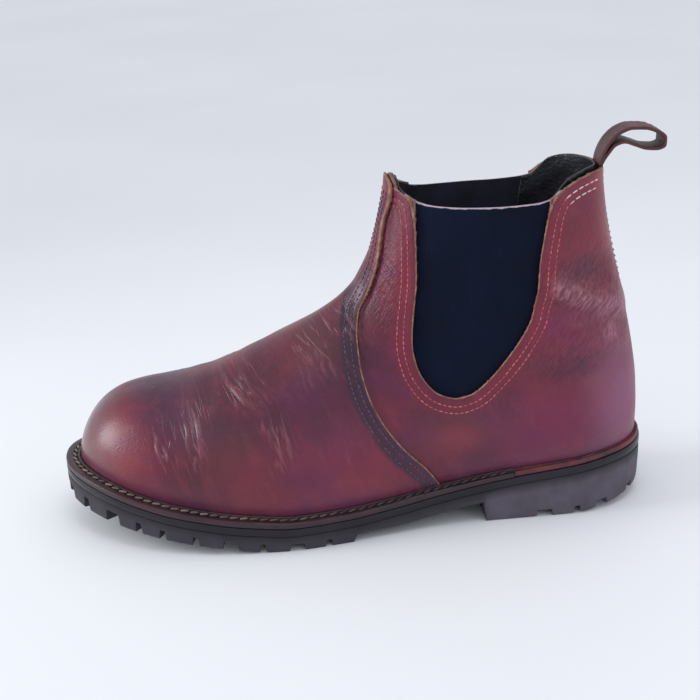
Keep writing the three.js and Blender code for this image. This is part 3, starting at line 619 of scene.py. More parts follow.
class Builder:
    """Short ways to add shader nodes to one material."""

    def __init__(self, name):
        self.material = bpy.data.materials.new(name)
        self.material.use_nodes = True
        self.nodes = self.material.node_tree.nodes
        self.links = self.material.node_tree.links
        self.shader = self.nodes["Principled BSDF"]
        self.where = self.nodes.new("ShaderNodeTexCoord").outputs["Object"]

    def set(self, **values):
        for name, value in values.items():
            self.shader.inputs[name.replace("_", " ")].default_value = value

    def link(self, output, socket):
        self.links.new(output, self.shader.inputs[socket])

    def value(self, name):
        node = self.nodes.new("ShaderNodeAttribute")
        node.attribute_name = name
        return node.outputs["Fac"]

    def stretched(self, scale, turn=0.0):
        """Coordinates turned about the boot's cross axis, then scaled."""
        node = self.nodes.new("ShaderNodeMapping")
        node.vector_type = "TEXTURE"
        node.inputs["Scale"].default_value = [1 / factor for factor in scale]
        node.inputs["Rotation"].default_value = (0, turn, 0)
        self.links.new(self.where, node.inputs["Vector"])
        return node.outputs["Vector"]

    def noise(self, scale, detail=3, roughness=0.5, vector=None, distortion=0):
        node = self.nodes.new("ShaderNodeTexNoise")
        node.inputs["Scale"].default_value = scale
        node.inputs["Detail"].default_value = detail
        node.inputs["Roughness"].default_value = roughness
        node.inputs["Distortion"].default_value = distortion
        self.links.new(vector or self.where, node.inputs["Vector"])
        return node.outputs["Fac"]

    def cells(self, scale):
        node = self.nodes.new("ShaderNodeTexVoronoi")
        node.inputs["Scale"].default_value = scale
        self.links.new(self.where, node.inputs["Vector"])
        return node.outputs["Distance"]

    def waves(self, scale, direction="X", distortion=0):
        node = self.nodes.new("ShaderNodeTexWave")
        node.bands_direction = direction
        node.inputs["Scale"].default_value = scale
        node.inputs["Distortion"].default_value = distortion
        self.links.new(self.where, node.inputs["Vector"])
        return node.outputs["Fac"]

    def ramp(self, factor, stops):
        node = self.nodes.new("ShaderNodeValToRGB")
        elements = node.color_ramp.elements
        while len(elements) < len(stops):
            elements.new(0.5)
        for element, (position, tone) in zip(elements, stops):
            element.position = position
            element.color = (*tone, 1)
        self.links.new(factor, node.inputs["Fac"])
        return node.outputs["Color"]

    def range(self, factor, low, high, from_low=0.0, from_high=1.0):
        node = self.nodes.new("ShaderNodeMapRange")
        limits = {"From Min": from_low, "From Max": from_high, "To Min": low, "To Max": high}
        for socket, number in limits.items():
            node.inputs[socket].default_value = number
        self.links.new(factor, node.inputs["Value"])
        return node.outputs["Result"]

    def math(self, operation, a, b):
        node = self.nodes.new("ShaderNodeMath")
        node.operation = operation
        for socket, value in zip(node.inputs, (a, b)):
            if isinstance(value, (int, float)):
                socket.default_value = value
            else:
                self.links.new(value, socket)
        return node.outputs["Value"]

    def blend(self, factor, a, b):
        node = self.nodes.new("ShaderNodeMix")
        node.data_type = "RGBA"
        sockets = (node.inputs[0], node.inputs[6], node.inputs[7])
        for socket, value in zip(sockets, (factor, a, b)):
            if isinstance(value, (int, float)):
                socket.default_value = value
            elif isinstance(value, tuple):
                socket.default_value = (*value, 1)
            else:
                self.links.new(value, socket)
        return node.outputs[2]

    def patchy(self, name, scale, low):
        """A painted value broken up by noise."""
        return self.math("MULTIPLY", self.value(name), self.range(self.noise(scale, 3), low, 1))

    def bump(self, height, distance, strength=1.0, normal=None):
        node = self.nodes.new("ShaderNodeBump")
        node.inputs["Distance"].default_value = distance * MM
        node.inputs["Strength"].default_value = strength
        self.links.new(height, node.inputs["Height"])
        if normal:
            self.links.new(normal, node.inputs["Normal"])
        return node.outputs["Normal"]


def colour(red, green, blue):
    """A colour given as 0 to 255 sRGB values."""
    parts = []
    for value in (red, green, blue):
        value /= 255
        parts.append(value / 12.92 if value <= 0.04045 else ((value + 0.055) / 1.055) ** 2.4)
    return tuple(parts)


def thin_lines(b, scale, stretch, turn, thinness):
    """Fine wandering lines, 1 on a line and 0 beside it."""
    field = b.noise(scale, 1, 0.5, b.stretched(stretch, turn), 0.1)
    off_line = b.math("ABSOLUTE", b.math("SUBTRACT", field, 0.5), 0.0)
    return b.range(off_line, 1, 0, 0.0, thinness)


def upper_leather():
    b = Builder("oxblood_leather")
    clouds = b.noise(17, 4, 0.55)
    body = b.ramp(
        clouds,
        [
            (0.32, colour(58, 12, 34)),
            (0.46, colour(88, 20, 40)),
            (0.56, colour(108, 28, 42)),
            (0.7, colour(128, 42, 48)),
        ],
    )
    purple = b.noise(26, 3, 0.5, b.stretched((1, 1, 1.7)))
    body = b.blend(b.range(purple, 0, 0.65, 0.5, 0.66), body, colour(84, 18, 62))
    warm = b.blend(b.noise(60, 3), colour(88, 36, 30), colour(62, 22, 26))
    body = b.blend(b.value("warm"), body, warm)
    body = b.blend(b.patchy("plum", 34, 0.3), body, colour(104, 24, 78))
    body = b.blend(b.patchy("red", 42, 0.4), body, colour(146, 24, 46))
    body = b.blend(b.value("dark"), body, colour(42, 14, 42))
    # Painted reflection: a pale haze over the back of the heel and the foot of the upper.
    body = b.blend(b.math("MULTIPLY", b.value("dull_and_painted_reflection"), 0.5), body, colour(150, 104, 136))
    streaks = b.noise(150, 4, 0.6, b.stretched((1, 1, 0.35), 0.5))
    body = b.blend(b.range(streaks, 0, 0.22, 0.52, 0.75), body, colour(140, 56, 62))
    specks = b.noise(700, 2, 0.6)
    body = b.blend(b.range(specks, 0, 0.2, 0.56, 0.78), body, colour(44, 10, 24))
    folds = b.math("MULTIPLY", thin_lines(b, 300, (1, 0.12, 0.07), 0.3, 0.03), b.value("fold"))
    slants = b.math("MULTIPLY", thin_lines(b, 300, (1, 0.12, 0.09), 0.75, 0.03), b.value("slant"))
    folds = b.math("MAXIMUM", folds, slants)
    crepe = b.noise(840, 2, 0.5, b.stretched((1, 0.6, 0.26), -0.55), 0.4)
    wrinkles = b.math("MULTIPLY", b.range(crepe, 0, 1, 0.38, 0.62), b.value("shrink"))
    # Painted highlight on the crests of the fine wrinkles.
    body = b.blend(b.math("MULTIPLY", wrinkles, 0.22), body, colour(168, 74, 98))
    # Painted highlight: a pale gleam, broken up by the wrinkles, along the roll of leather behind the gore and
    # in two small patches.
    painted_sheen = b.math("MULTIPLY", b.range(crepe, 0.05, 0.3, 0.36, 0.66), b.value("painted_highlight"))
    body = b.blend(painted_sheen, body, colour(220, 168, 182))
    # Lighter along the fine crease lines: worn leather and a painted highlight on their ridges.
    body = b.blend(b.math("MULTIPLY", folds, 0.32), body, colour(178, 110, 122))
    # Lighter on the crease ridges: rubbed leather and a painted highlight.
    body = b.blend(b.patchy("rub_and_ridge_highlight", 320, 0.35), body, colour(164, 92, 104))
    ragged = b.math("ADD", b.value("raw"), b.range(b.noise(600, 2), -0.3, 0.3))
    raw = b.range(ragged, 1, 0, 0.85, 1.15)
    fibres = b.ramp(b.noise(240, 3), [(0.35, colour(112, 70, 54)), (0.7, colour(166, 122, 98))])
    body = b.blend(raw, body, fibres)
    b.link(body, "Base Color")
    gloss = b.range(b.noise(45, 4, 0.6), 0.3, 0.46, 0.3, 0.7)
    rough = b.math("ADD", gloss, b.math("MULTIPLY", b.value("dull_and_painted_reflection"), 0.16))
    rough = b.math("SUBTRACT", rough, b.math("MULTIPLY", b.value("warm"), 0.07))
    b.link(b.math("MAXIMUM", rough, b.math("MULTIPLY", raw, 0.75)), "Roughness")
    grain = b.bump(b.cells(1300), 0.14, 0.6)
    pores = b.bump(b.noise(850, 4, 0.65), 0.2, 0.6, grain)
    creased = b.bump(folds, 0.5, 0.9, b.bump(wrinkles, 0.5, 0.8, pores))
    soft = b.noise(260, 5, 0.6, b.stretched((1, 1, 0.4), 0.4), 0.6)
    b.link(b.bump(soft, 0.3, 0.5, creased), "Normal")
    b.link(b.bump(soft, 0.1, 0.5), "Coat Normal")
    b.link(b.range(b.value("warm"), 0.1, 1), "Coat Weight")
    b.set(Coat_Roughness=0.2, Specular_IOR_Level=0.4)
    return b.material


def plain_leather(name, dark, light, roughness=0.6, grain=0.2, scale=900):
    b = Builder(name)
    b.link(b.ramp(b.noise(70, 5, 0.6), [(0.35, dark), (0.68, light)]), "Base Color")
    b.link(b.range(b.noise(160, 3), roughness - 0.08, roughness + 0.1), "Roughness")
    rough = b.bump(b.noise(scale, 5, 0.65), grain, 0.6)
    b.link(b.bump(b.cells(scale * 1.4), grain * 0.6, 0.4, rough), "Normal")
    return b.material


def elastic():
    b = Builder("elastic_webbing")
    ribs = b.waves(330, "X", 0.3)
    weft = b.waves(520, "Z", 0.2)
    tone = b.ramp(b.noise(40, 3), [(0.3, colour(5, 10, 26)), (0.75, colour(10, 18, 40))])
    tone = b.blend(b.range(ribs, 0, 0.3), tone, colour(20, 30, 58))
    ragged = b.math("ADD", b.value("drop"), b.range(b.noise(300, 3), -0.7, 0.7))
    tone = b.blend(b.range(ragged, 1, 0, 0.3, 0.6), tone, colour(184, 166, 178))
    b.link(tone, "Base Color")
    b.link(b.bump(weft, 0.08, 0.4, b.bump(ribs, 0.16, 0.6)), "Normal")
    b.set(Roughness=0.9, Specular_IOR_Level=0.15)
    return b.material


def rubber(name, dark, light, roughness, grain):
    b = Builder(name)
    tone = b.ramp(b.noise(38, 5, 0.6), [(0.3, dark), (0.72, light)])
    dust = b.math("MULTIPLY", b.value("dust"), b.range(b.noise(120, 4), 0.65, 1, 0.35, 0.7))
    tone = b.blend(dust, tone, colour(96, 88, 102))
    b.link(tone, "Base Color")
    b.link(b.range(b.noise(90, 4), roughness - 0.1, roughness + 0.12), "Roughness")
    b.link(b.bump(b.noise(1100, 4, 0.7), grain, 0.6, b.bump(b.noise(140, 4), grain * 2, 0.35)), "Normal")
    b.set(Specular_IOR_Level=0.35)
    return b.material


def thread(name, tone, dark):
    b = Builder(name)
    twist = b.waves(900, "DIAGONAL", 0.6)
    shade = b.blend(b.value("shade"), dark, tone)
    b.link(b.blend(b.range(twist, 0, 0.3), shade, dark), "Base Color")
    b.link(b.bump(twist, 0.15, 0.6), "Normal")
    b.set(Roughness=0.62)
    return b.material


def cork():
    b = Builder("ground_cork")
    b.link(b.ramp(b.cells(420), [(0.1, colour(120, 84, 52)), (0.6, colour(186, 146, 98))]), "Base Color")
    b.link(b.bump(b.cells(420), 0.4, 0.7), "Normal")
    b.set(Roughness=0.9)
    return b.material


def steel():
    b = Builder("spring_steel")
    brushed = b.noise(300, 3, 0.5, b.stretched((0.1, 1, 1)))
    b.link(b.ramp(brushed, [(0.3, (0.4, 0.41, 0.42)), (0.7, (0.6, 0.61, 0.62))]), "Base Color")
    b.link(b.range(b.noise(500, 2), 0.28, 0.42), "Roughness")
    b.set(Metallic=1.0)
    return b.material


LEATHER_SKIN = upper_leather()
RAW_EDGE = plain_leather("raw_leather_edge", colour(94, 62, 50), colour(154, 114, 94), 0.75, 0.3)
FLESH_SIDE = plain_leather("leather_flesh_side", colour(70, 48, 40), colour(110, 80, 66), 0.85, 0.35)
ELASTIC = elastic()
ELASTIC_INSIDE = plain_leather("elastic_inside", colour(8, 9, 24), colour(20, 22, 44), 0.9, 0.15)
LINING = plain_leather("black_lining_leather", colour(9, 9, 16), colour(26, 26, 38), 0.42, 0.5, 420)
STRAP = plain_leather("brown_strap_leather", colour(42, 14, 18), colour(86, 36, 34), 0.5, 0.3)
STRAP_EDGE = plain_leather("strap_edge", colour(40, 20, 22), colour(74, 42, 36), 0.7, 0.25)
WELT_LEATHER = plain_leather("welt_leather", colour(30, 16, 26), colour(58, 30, 36), 0.36, 0.25, 500)
RAND_LEATHER = plain_leather("rand_leather", colour(48, 14, 26), colour(112, 40, 48), 0.42, 0.4, 400)
MIDSOLE_RUBBER = rubber("midsole_rubber", colour(16, 14, 24), colour(34, 28, 40), 0.34, 0.12)
OUTSOLE_RUBBER = rubber("outsole_rubber", colour(26, 24, 32), colour(48, 44, 50), 0.6, 0.2)
WELT_THREAD = thread("waxed_welt_thread", colour(140, 116, 108), colour(44, 30, 34))
SEAM_THREAD = thread("plum_seam_thread", colour(104, 76, 98), colour(44, 28, 46))
GORE_THREAD = thread("rose_seam_thread", colour(206, 112, 116), colour(130, 36, 44))
WHITE_THREAD = thread("white_seam_thread", colour(232, 214, 206), colour(190, 150, 146))
INSOLE_LEATHER = plain_leather("insole_leather", colour(120, 92, 66), colour(170, 134, 98), 0.7, 0.25)
FIBRE = plain_leather("fibre_board", colour(128, 112, 88), colour(166, 150, 124), 0.9, 0.3)
CORK = cork()
STEEL = steel()


# ---- The upper's pieces ----

# Columns of the data that clip() carries: position, side view, distances, then the painted values.
Y, Z, SX, SZ, SEAM_D, GORE_D, EDGE_D = range(1, 8)
PAINTED = ("warm", "dark", "rub_and_ridge_highlight", "dull_and_painted_reflection", "fold", "slant", "shrink", "plum", "red", "painted_highlight")


def near(distance, centre, width):
    return np.exp(-(((distance - centre) / width) ** 2))


def roll_line(x):
    """Height of the roll of leather that crosses the back quarter from the gore to the back seam."""
    return mix(107, 121, clamp((x - 19) / 30))


def painted_values():
    """The values named in PAINTED over the master surface: how brown and how dark the leather is, with painted
    shade in the hollows of the broad folds; how rubbed its crease ridges are, with a painted highlight on
    them; how dull it is, with a painted reflection; where it is creased and wrinkled; how purple and red it
    is; and where a painted highlight lies."""
    x, z = side_view.T
    warm = 0.6 * smooth((x - 266) / 24) + patch(170, 96, 16, 14, 0.4) + patch(214, 48, 26, 16, 0.3)
    warm += patch(100, 48, 24, 12, 0.35) + patch(236, 64, 8, 10, 0.3)
    dark = 0.85 * clamp((past_seam + 9.6) / 1.6) * (past_seam < 0) * smooth((140 - z) / 26)
    dark += patch(248, 64, 12, 10, 0.6) + patch(176, 60, 18, 14, 0.2) + 0.35 * near(z - feather(x), 0, 5)
    # Painted shade in the two hollows of the broad folds at the back quarter.
    dark += patch(33, 129, 12, 7, 0.7) + patch(40, 80, 20, 10, 0.65)
    dark += patch(170, 62, 8, 20, 0.25) + patch(256, 76, 16, 9, 0.5)
    # Lighter on the ridges of the fine creases: rubbed leather and a painted highlight.
    rub_and_ridge_highlight = clamp((fine - 0.08) * 3.5) * 0.34 * smooth((x - 60) / 10)
    # Painted reflection: a pale haze, strongest at the back of the heel and weaker along the foot of the
    # upper; the same value makes the leather rougher there.
    dull_and_painted_reflection = patch(14, 60, 16, 32) + 0.3 * near(z - feather(x), 0, 8)
    fold = patch(248, 50, 5, 11, 0.8) + patch(233, 57, 6, 17, 0.8)
    fold += patch(191, 54, 7, 12) + patch(159, 45, 10, 12, 0.3)
    slant = patch(207, 77, 10, 8) + patch(163, 97, 16, 12, 0.9) + patch(134, 128, 6, 14, 0.6)
    shrink = patch(34, 120, 20, 18) + patch(134, 128, 5, 20, 0.8) + patch(36, 88, 26, 12, 0.7)
    shrink += 0.15 * smooth((150 - x) / 20)
    plum = patch(50, 52, 44, 20, 0.7) + patch(48, 100, 12, 9, 0.7) + patch(165, 50, 32, 24, 0.5)
    plum += patch(250, 66, 14, 10, 0.7) + 0.1
    red = 0.42 * near(past_edge, 5, 5) * (past_edge > 0) + 0.35 * near(x - back_x(z), 2, 6)
    red += patch(30, 150, 24, 26, 0.35) + patch(100, 47, 13, 8, 0.7)
    red += patch(30, 80, 40, 50, 0.25) + patch(200, 46, 40, 10, 0.3)
    # Painted highlight along the roll of leather behind the gore and in two small patches.
    painted_highlight = near(z - roll_line(x), 0, 6) * smooth((56 - x) / 8)
    painted_highlight += patch(20, 95, 5, 6, 0.8) + patch(146, 118, 4, 14, 0.4)
    values = (warm, dark, rub_and_ridge_highlight, dull_and_painted_reflection, fold, slant, shrink, plum, red, painted_highlight)
    return tuple(clamp(value) for value in values)


def layer_data(depth, relief=1.0):
    """The master surface moved in by depth, with everything clip() carries."""
    height = creases * relief - depth
    points = master + master_normals * height[:, None]
    return np.column_stack([points, side_view, past_seam, past_gore, past_edge, *painted_values()])


def on_side(side):
    """Keeps one side, with a hair's gap at the seam down the back."""
    return lambda data: side * (data[:, Y] - middle_y(data[:, SX])) - 0.1


def below_topline(drop):
    return lambda data: topline(data[:, SX]) - drop - data[:, SZ]


def above_welt(data):
    return data[:, Z] - feather(data[:, SX]) - 0.15


def cut_layer(name, data, fields, thickness, materials, node):
    """A layer of the upper cut out of the master surface, thickened inwards, in place of a CAD node."""
    faces = master_faces
    for field in fields:
        data, faces = clip(data, faces, field)
    piece = make_piece(name, data[:, :3], faces, materials, replaces=[node])
    solidify = piece.modifiers.new("thickness", "SOLIDIFY")
    solidify.thickness = thickness * MM
    solidify.offset = -1
    smooth_shade(piece, 50)
    return piece, solidify, data, faces


def leather_piece(name, data, fields, raw_distance, node):
    """A piece of outer leather. Returns a search tree of its outer face, for its stitches."""
    materials = [LEATHER_SKIN, RAW_EDGE, FLESH_SIDE]
    piece, solidify, data, faces = cut_layer(name, data, fields, LEATHER, materials, node)
    solidify.use_even_offset = True
    solidify.use_quality_normals = True
    solidify.material_offset_rim = 1
    solidify.material_offset = 2
    paint(piece, raw=raw_distance(data), **dict(zip(PAINTED, data[:, EDGE_D + 1 :].T)))
    return BVHTree.FromPolygons([Vector(p) for p in data[:, :3]], faces)


def vamp():
    inward = -past_seam
    lift = VAMP_LIFT * smooth(1 - inward / 22)
    sink = EDGE_SINK * clamp(1 - inward / EDGE_SINK_WIDTH) ** 2
    furrow = sum(0.28 * near(inward, row, FURROW_WIDTH) for row in VAMP_ROWS)
    from_top = topline(side_view[:, 0]) - side_view[:, 1]
    edge = EDGE_SINK * clamp(1 - from_top / 1.2) ** 2
    data = layer_data(sink + furrow + edge - lift)
    fields = [lambda d: -d[:, SEAM_D], below_topline(0), above_welt]

    def raw(d):
        return np.minimum(-d[:, SEAM_D] / 0.6, (topline(d[:, SX]) - d[:, SZ]) / 0.9)

    return leather_piece("vamp_leather", data, fields, raw, "vamp")


def quarter(side, name, node):
    tuck = 1.05 * smooth(1 - past_seam / 12)
    sink = EDGE_SINK * clamp(1 - past_edge / EDGE_SINK_WIDTH) ** 2 + 0.25 * near(past_seam, 1.2, 1.2)
    furrow = sum(0.22 * near(past_edge, row, FURROW_WIDTH) for row in GORE_ROWS)
    rise = 0.35 * smooth(1 - past_edge / 14)
    data = layer_data(tuck + sink + furrow - rise)
    fields = [
        lambda d: d[:, SEAM_D] + VAMP_OVERLAP,
        lambda d: d[:, GORE_D],
        below_topline(0),
        on_side(side),
        above_welt,
    ]
    return leather_piece(name, data, fields, lambda d: np.abs(d[:, EDGE_D]) / 0.6, node)


def gore(side, name, node):
    wave = 0.025 * np.sin(side_view[:, 0] * 0.9)
    data = layer_data(GORE_DEPTH + wave, 0.15)
    fields = [lambda d: GORE_MARGIN - d[:, GORE_D], below_topline(GORE_DROP), on_side(side)]
    materials = [ELASTIC, ELASTIC_INSIDE]
    piece, solidify, data, _ = cut_layer(name, data, fields, GORE_THICK, materials, node)
    solidify.material_offset = 1
    paint(piece, drop=topline(data[:, SX]) - GORE_DROP - data[:, SZ])


def lining(name, node, half):
    """Lining leather, cut back from the gore's window, and a little proud of the topline at the back."""
    bulge = 0.25 * np.sin(side_view[:, 0] / 3.1 + side_view[:, 1] / 5.3) * np.sin(side_view[:, 1] / 4.1)
    data = layer_data(LINING_DEPTH + bulge, 0.3)

    def outside_window(d):
        return d[:, GORE_D] + WINDOW_MARGIN

    def below_top(d):
        return topline(d[:, SX]) - 1.0 + 2.3 * smooth((49 - d[:, SX]) / 8) - d[:, SZ]

    fields = [outside_window, below_top, above_welt, half]
    cut_layer(name, data, fields, LINING_THICK, [LINING], node)


vamp_tree = vamp()
quarter_trees = {
    1: quarter(1, "quarter_leather_lateral", "quarter_lateral"),
    -1: quarter(-1, "quarter_leather_medial", "quarter_medial"),
}
gore(1, "gore_webbing_lateral", "gore_lateral")
gore(-1, "gore_webbing_medial", "gore_medial")
lining("vamp_lining_leather", "vamp_lining", lambda d: -d[:, SEAM_D] - 0.1)
lining("quarter_lining_leather", "quarter_lining", lambda d: d[:, SEAM_D] - 0.1)


# ---- Stitches ----


def beads(name, centres, tangents, normals, size, material, shades, replaces=(), body="boot"):
    """Short rounded stitches: size is length, width and height, one stitch lying at each centre."""
    rings, around = 7, 8
    centres, tangents, normals = (np.asarray(v, float) for v in (centres, tangents, normals))
    across = np.cross(normals, tangents)
    polar = np.linspace(0, np.pi, rings)
    turn = np.linspace(0, 2 * np.pi, around, endpoint=False)
    length, width, height = size
    vertices, faces, shade = [], [], []
    ring_faces = grid_faces(rings, around, True)
    for i, (centre, tangent, normal, side) in enumerate(zip(centres, tangents, normals, across)):
        base = i * rings * around
        reach = np.cos(polar)[:, None, None] * tangent * length / 2
        girth = (np.sin(polar) ** 0.55)[:, None, None]
        high = np.cos(turn)[None, :, None] * normal * height / 2
        wide = np.sin(turn)[None, :, None] * side * width / 2
        vertices.append((centre + reach + girth * (high + wide)).reshape(-1, 3))
        faces.extend([[v + base for v in face] for face in ring_faces])
        shade.extend([shades[i]] * (rings * around))
    points = np.vstack(vertices)
    piece = make_piece(name, points, faces, [material], body=body, replaces=replaces)
    paint(piece, shade=shade)
    tidy_mesh(piece, 0.004, 70)


def on_surface(line, side):
    """Side-view points carried onto the master surface: positions and normals."""
    positions, normals = [], []
    for x, z in line:
        hit = master_tree.ray_cast(Vector((x, side * 200, z)), Vector((0, -side, 0)))
        if hit[0] is None:
            continue
        normal = np.array(hit[1])
        positions.append(np.array(hit[0]))
        normals.append(normal * np.sign(normal[1] * side))
    return np.array(positions), np.array(normals)


master_tree = BVHTree.FromPolygons([Vector(p) for p in master], master_faces)


def row_on(tree, line, side, inset, lift=0.12):
    """A row beside a side-view line, on a piece: moved over the surface by inset, to the line's right."""
    base, normals = on_surface(line, side)
    along = np.gradient(base, axis=0)
    along /= np.linalg.norm(along, axis=1, keepdims=True) + TINY
    right = np.cross(normals, along) * side
    placed, outward = [], []
    for point in base + right * inset:
        location, normal, _, _ = tree.find_nearest(Vector(point))
        normal = np.array(normal)
        placed.append(np.array(location) + normal * lift)
        outward.append(normal)
    return np.array(placed), np.array(outward)


def spaced(points, normals, pitch, start=0.0):
    """Places along a row, one stitch pitch apart: positions, directions and normals."""
    steps = np.linalg.norm(np.diff(points, axis=0), axis=1)
    at = np.concatenate([[0], np.cumsum(steps)])
    wanted = np.arange(start, at[-1], pitch)
    place = np.stack([np.interp(wanted, at, column) for column in points.T], -1)
    normal = np.stack([np.interp(wanted, at, column) for column in normals.T], -1)
    ahead = np.stack([np.interp(wanted + pitch * 0.4, at, column) for column in points.T], -1)
    behind = np.stack([np.interp(wanted - pitch * 0.4, at, column) for column in points.T], -1)
    along = ahead - behind
    along /= np.linalg.norm(along, axis=1, keepdims=True) + TINY
    normal /= np.linalg.norm(normal, axis=1, keepdims=True) + TINY
    normal -= (normal * along).sum(1, keepdims=True) * along
    normal /= np.linalg.norm(normal, axis=1, keepdims=True) + TINY
    return place, along, normal


def seam_stitches(name, rows, pitch, size, material):
    random = np.random.default_rng(RANDOM_SEED)
    sets = [spaced(points, normals, pitch) for points, normals in rows]
    place, along, normal = (np.vstack(parts) for parts in zip(*sets))
    beads(name, place, along, normal, size, material, random.uniform(0.3, 1, len(place)))


def upper_seams():
    low = feather(seam_line[:, 0]) + 4
    line = seam_line[(seam_line[:, 1] > low) & (seam_line[:, 1] < 168)]
    rows = [row_on(vamp_tree, line, side, -inset) for side in (1, -1) for inset in VAMP_ROWS]
    seam_stitches("vamp_stitches", rows, FINE_PITCH, VAMP_STITCH, SEAM_THREAD)
    at_back = quarter_edge[:, 0] < 46
    round_gore, round_top = quarter_edge[~at_back][4:], quarter_edge[at_back][:-8]
    for side, label in ((1, "lateral"), (-1, "medial")):
        tree = quarter_trees[side]
        rows = [row_on(tree, round_gore, side, -inset) for inset in GORE_ROWS]
        seam_stitches(f"gore_stitches_{label}", rows, FINE_PITCH, GORE_STITCH, GORE_THREAD)
        rows = [row_on(tree, round_top, side, -inset) for inset in TOPLINE_ROWS]
        seam_stitches(f"topline_stitches_{label}", rows, TOPLINE_PITCH, TOPLINE_STITCH, WHITE_THREAD)
    heights = np.arange(44, 172, BACK_PITCH)
    spine = np.column_stack([back_x(heights) - 0.1, 0 * heights, heights])
    out = np.tile([-1.0, 0, 0], (len(heights), 1))
    across = np.tile([0, 1.0, 0], (len(heights), 1))
    beads("back_seam_stitches", spine, across, out, BACK_STITCH, GORE_THREAD, 0.4 + 0 * heights)


upper_seams()


# ---- Sole ----


def half_section(s, side, section):
    """Points of a section's edge: each entry of section is an offset beyond the outline and a height above
    the feather line, or a function of x that gives the height itself."""
    points = []
    foot_x = float(outline_point(s, side)[0])
    for offset, height in section(foot_x):
        x, y = edge_point(s, side, offset)
        z = float(height(x)) if callable(height) else float(feather(x)) + height
        points.append((x, y, z))
    return points


def swept(name, rings, faces, material, node, merge=0.02, angle=35):
    """A piece of the sole made of rings of points, in place of a CAD node."""
    piece = make_piece(name, rings.reshape(-1, 3), faces, [material], replaces=[node])
    tidy_mesh(piece, merge, angle)
    return piece


def slab(name, section, material, node, stations=150):
    """A full slab: its section runs from the top's inner corner round the edge to the bottom's."""
    rings = []
    for s in np.linspace(0, 1, stations):
        left, right = half_section(s, 1, section), half_section(s, -1, section)
        rings.append(left + right[::-1])
    rings = np.array(rings)
    return swept(name, rings, grid_faces(stations, rings.shape[1], True), material, node)


def band(name, section, material, node, from_x, to_toe, stations=170):
    """A strip swept along the outline, round the toe or round the heel, with closed ends."""
    out = np.linspace(s_at_edge_x(from_x), 1.0 if to_toe else 0.0, stations)
    places = [(s, 1) for s in out] + [(s, -1) for s in out[::-1][1:]]
    rings = np.array([half_section(s, side, section) for s, side in places])
    count = rings.shape[1]
    faces = grid_faces(len(rings), count, True)
    faces.append(list(range(count)))
    faces.append([(len(rings) - 1) * count + i for i in range(count)][::-1])
    return swept(name, rings, faces, material, node)


def welt_section(x):
    """The storm ridge beside the upper, the channel for the seam thread and the rounded outer edge."""
    edge = float(sole_edge(x))
    return [
        (-WELT_INNER, 0), (0.3, 0), (0.5, 1.0), (0.9, 1.25), (1.4, 1.2), (1.8, 0.9),
        (2.1, -0.25), (2.6, -0.5), (3.8, -0.5), (4.2, 0.1), (4.7, 0.25), (edge - 0.9, 0.1),
        (edge - 0.3, -0.25), (edge, -0.9), (edge, -2.4), (edge - 0.4, -3.05), (-WELT_INNER, -WELT),
    ]


def rand_section(x):
    """A lip against the upper, a shallow channel and a rounded outer edge."""
    edge = float(sole_edge(x)) - 0.6
    return [
        (-WELT_INNER, 0), (0.3, 0), (0.7, 0.2), (1.0, -0.8), (edge - 1.5, -1.0), (edge - 1.0, -0.3),
        (edge - 0.4, -0.2), (edge, -0.8), (edge, -2.5), (edge - 0.4, -3.05), (-WELT_INNER, -WELT),
    ]


def midsole_section(x):
    edge = float(sole_edge(x))
    top, bottom = -MIDSOLE_TOP, -WELT - MIDSOLE
    return [
        (-20, top), (edge - 0.5, top), (edge - 0.1, top - 0.25), (edge, top - 0.7), (edge + 0.05, top - 2),
        (edge, bottom + 0.6), (edge - 0.3, bottom + 0.15), (edge - 0.7, bottom), (-20, bottom),
    ]


def inner_slab(inset, bottom, top):
    """Section of a slab inside the boot, the same all along."""
    corners = [(-20, top), (-inset - 0.4, top), (-inset, top - 0.4), (-inset, bottom), (-20, bottom)]
    return lambda x: corners


def welt_stitches():
    """The heavy thread of the welt seam, one slanting bead for each stitch."""
    random = np.random.default_rng(RANDOM_SEED)
    out = np.linspace(s_at_edge_x(WELT_START + 4), 1, 400)
    offset = np.full(len(out), WELT_SEAM)
    plan = np.vstack([edge_point(out, 1, offset), edge_point(out, -1, offset)[::-1][1:]])
    path = np.column_stack([plan, feather(plan[:, 0]) + 0.25])
    up = np.tile([0, 0, 1.0], (len(path), 1))
    place, along, normal = spaced(path, up, WELT_PITCH, 1.5)
    across = np.cross(normal, along)
    slant = along * 0.94 + across * 0.34
    place = place + across * random.normal(0, 0.12, (len(place), 1))
    shades = random.uniform(0.2, 1, len(place)) * mix(0.15, 1, smooth((place[:, 0] - 120) / 110))
    beads("welt_stitches", place, slant, normal, WELT_STITCH, WELT_THREAD, shades, ["welt_thread"])


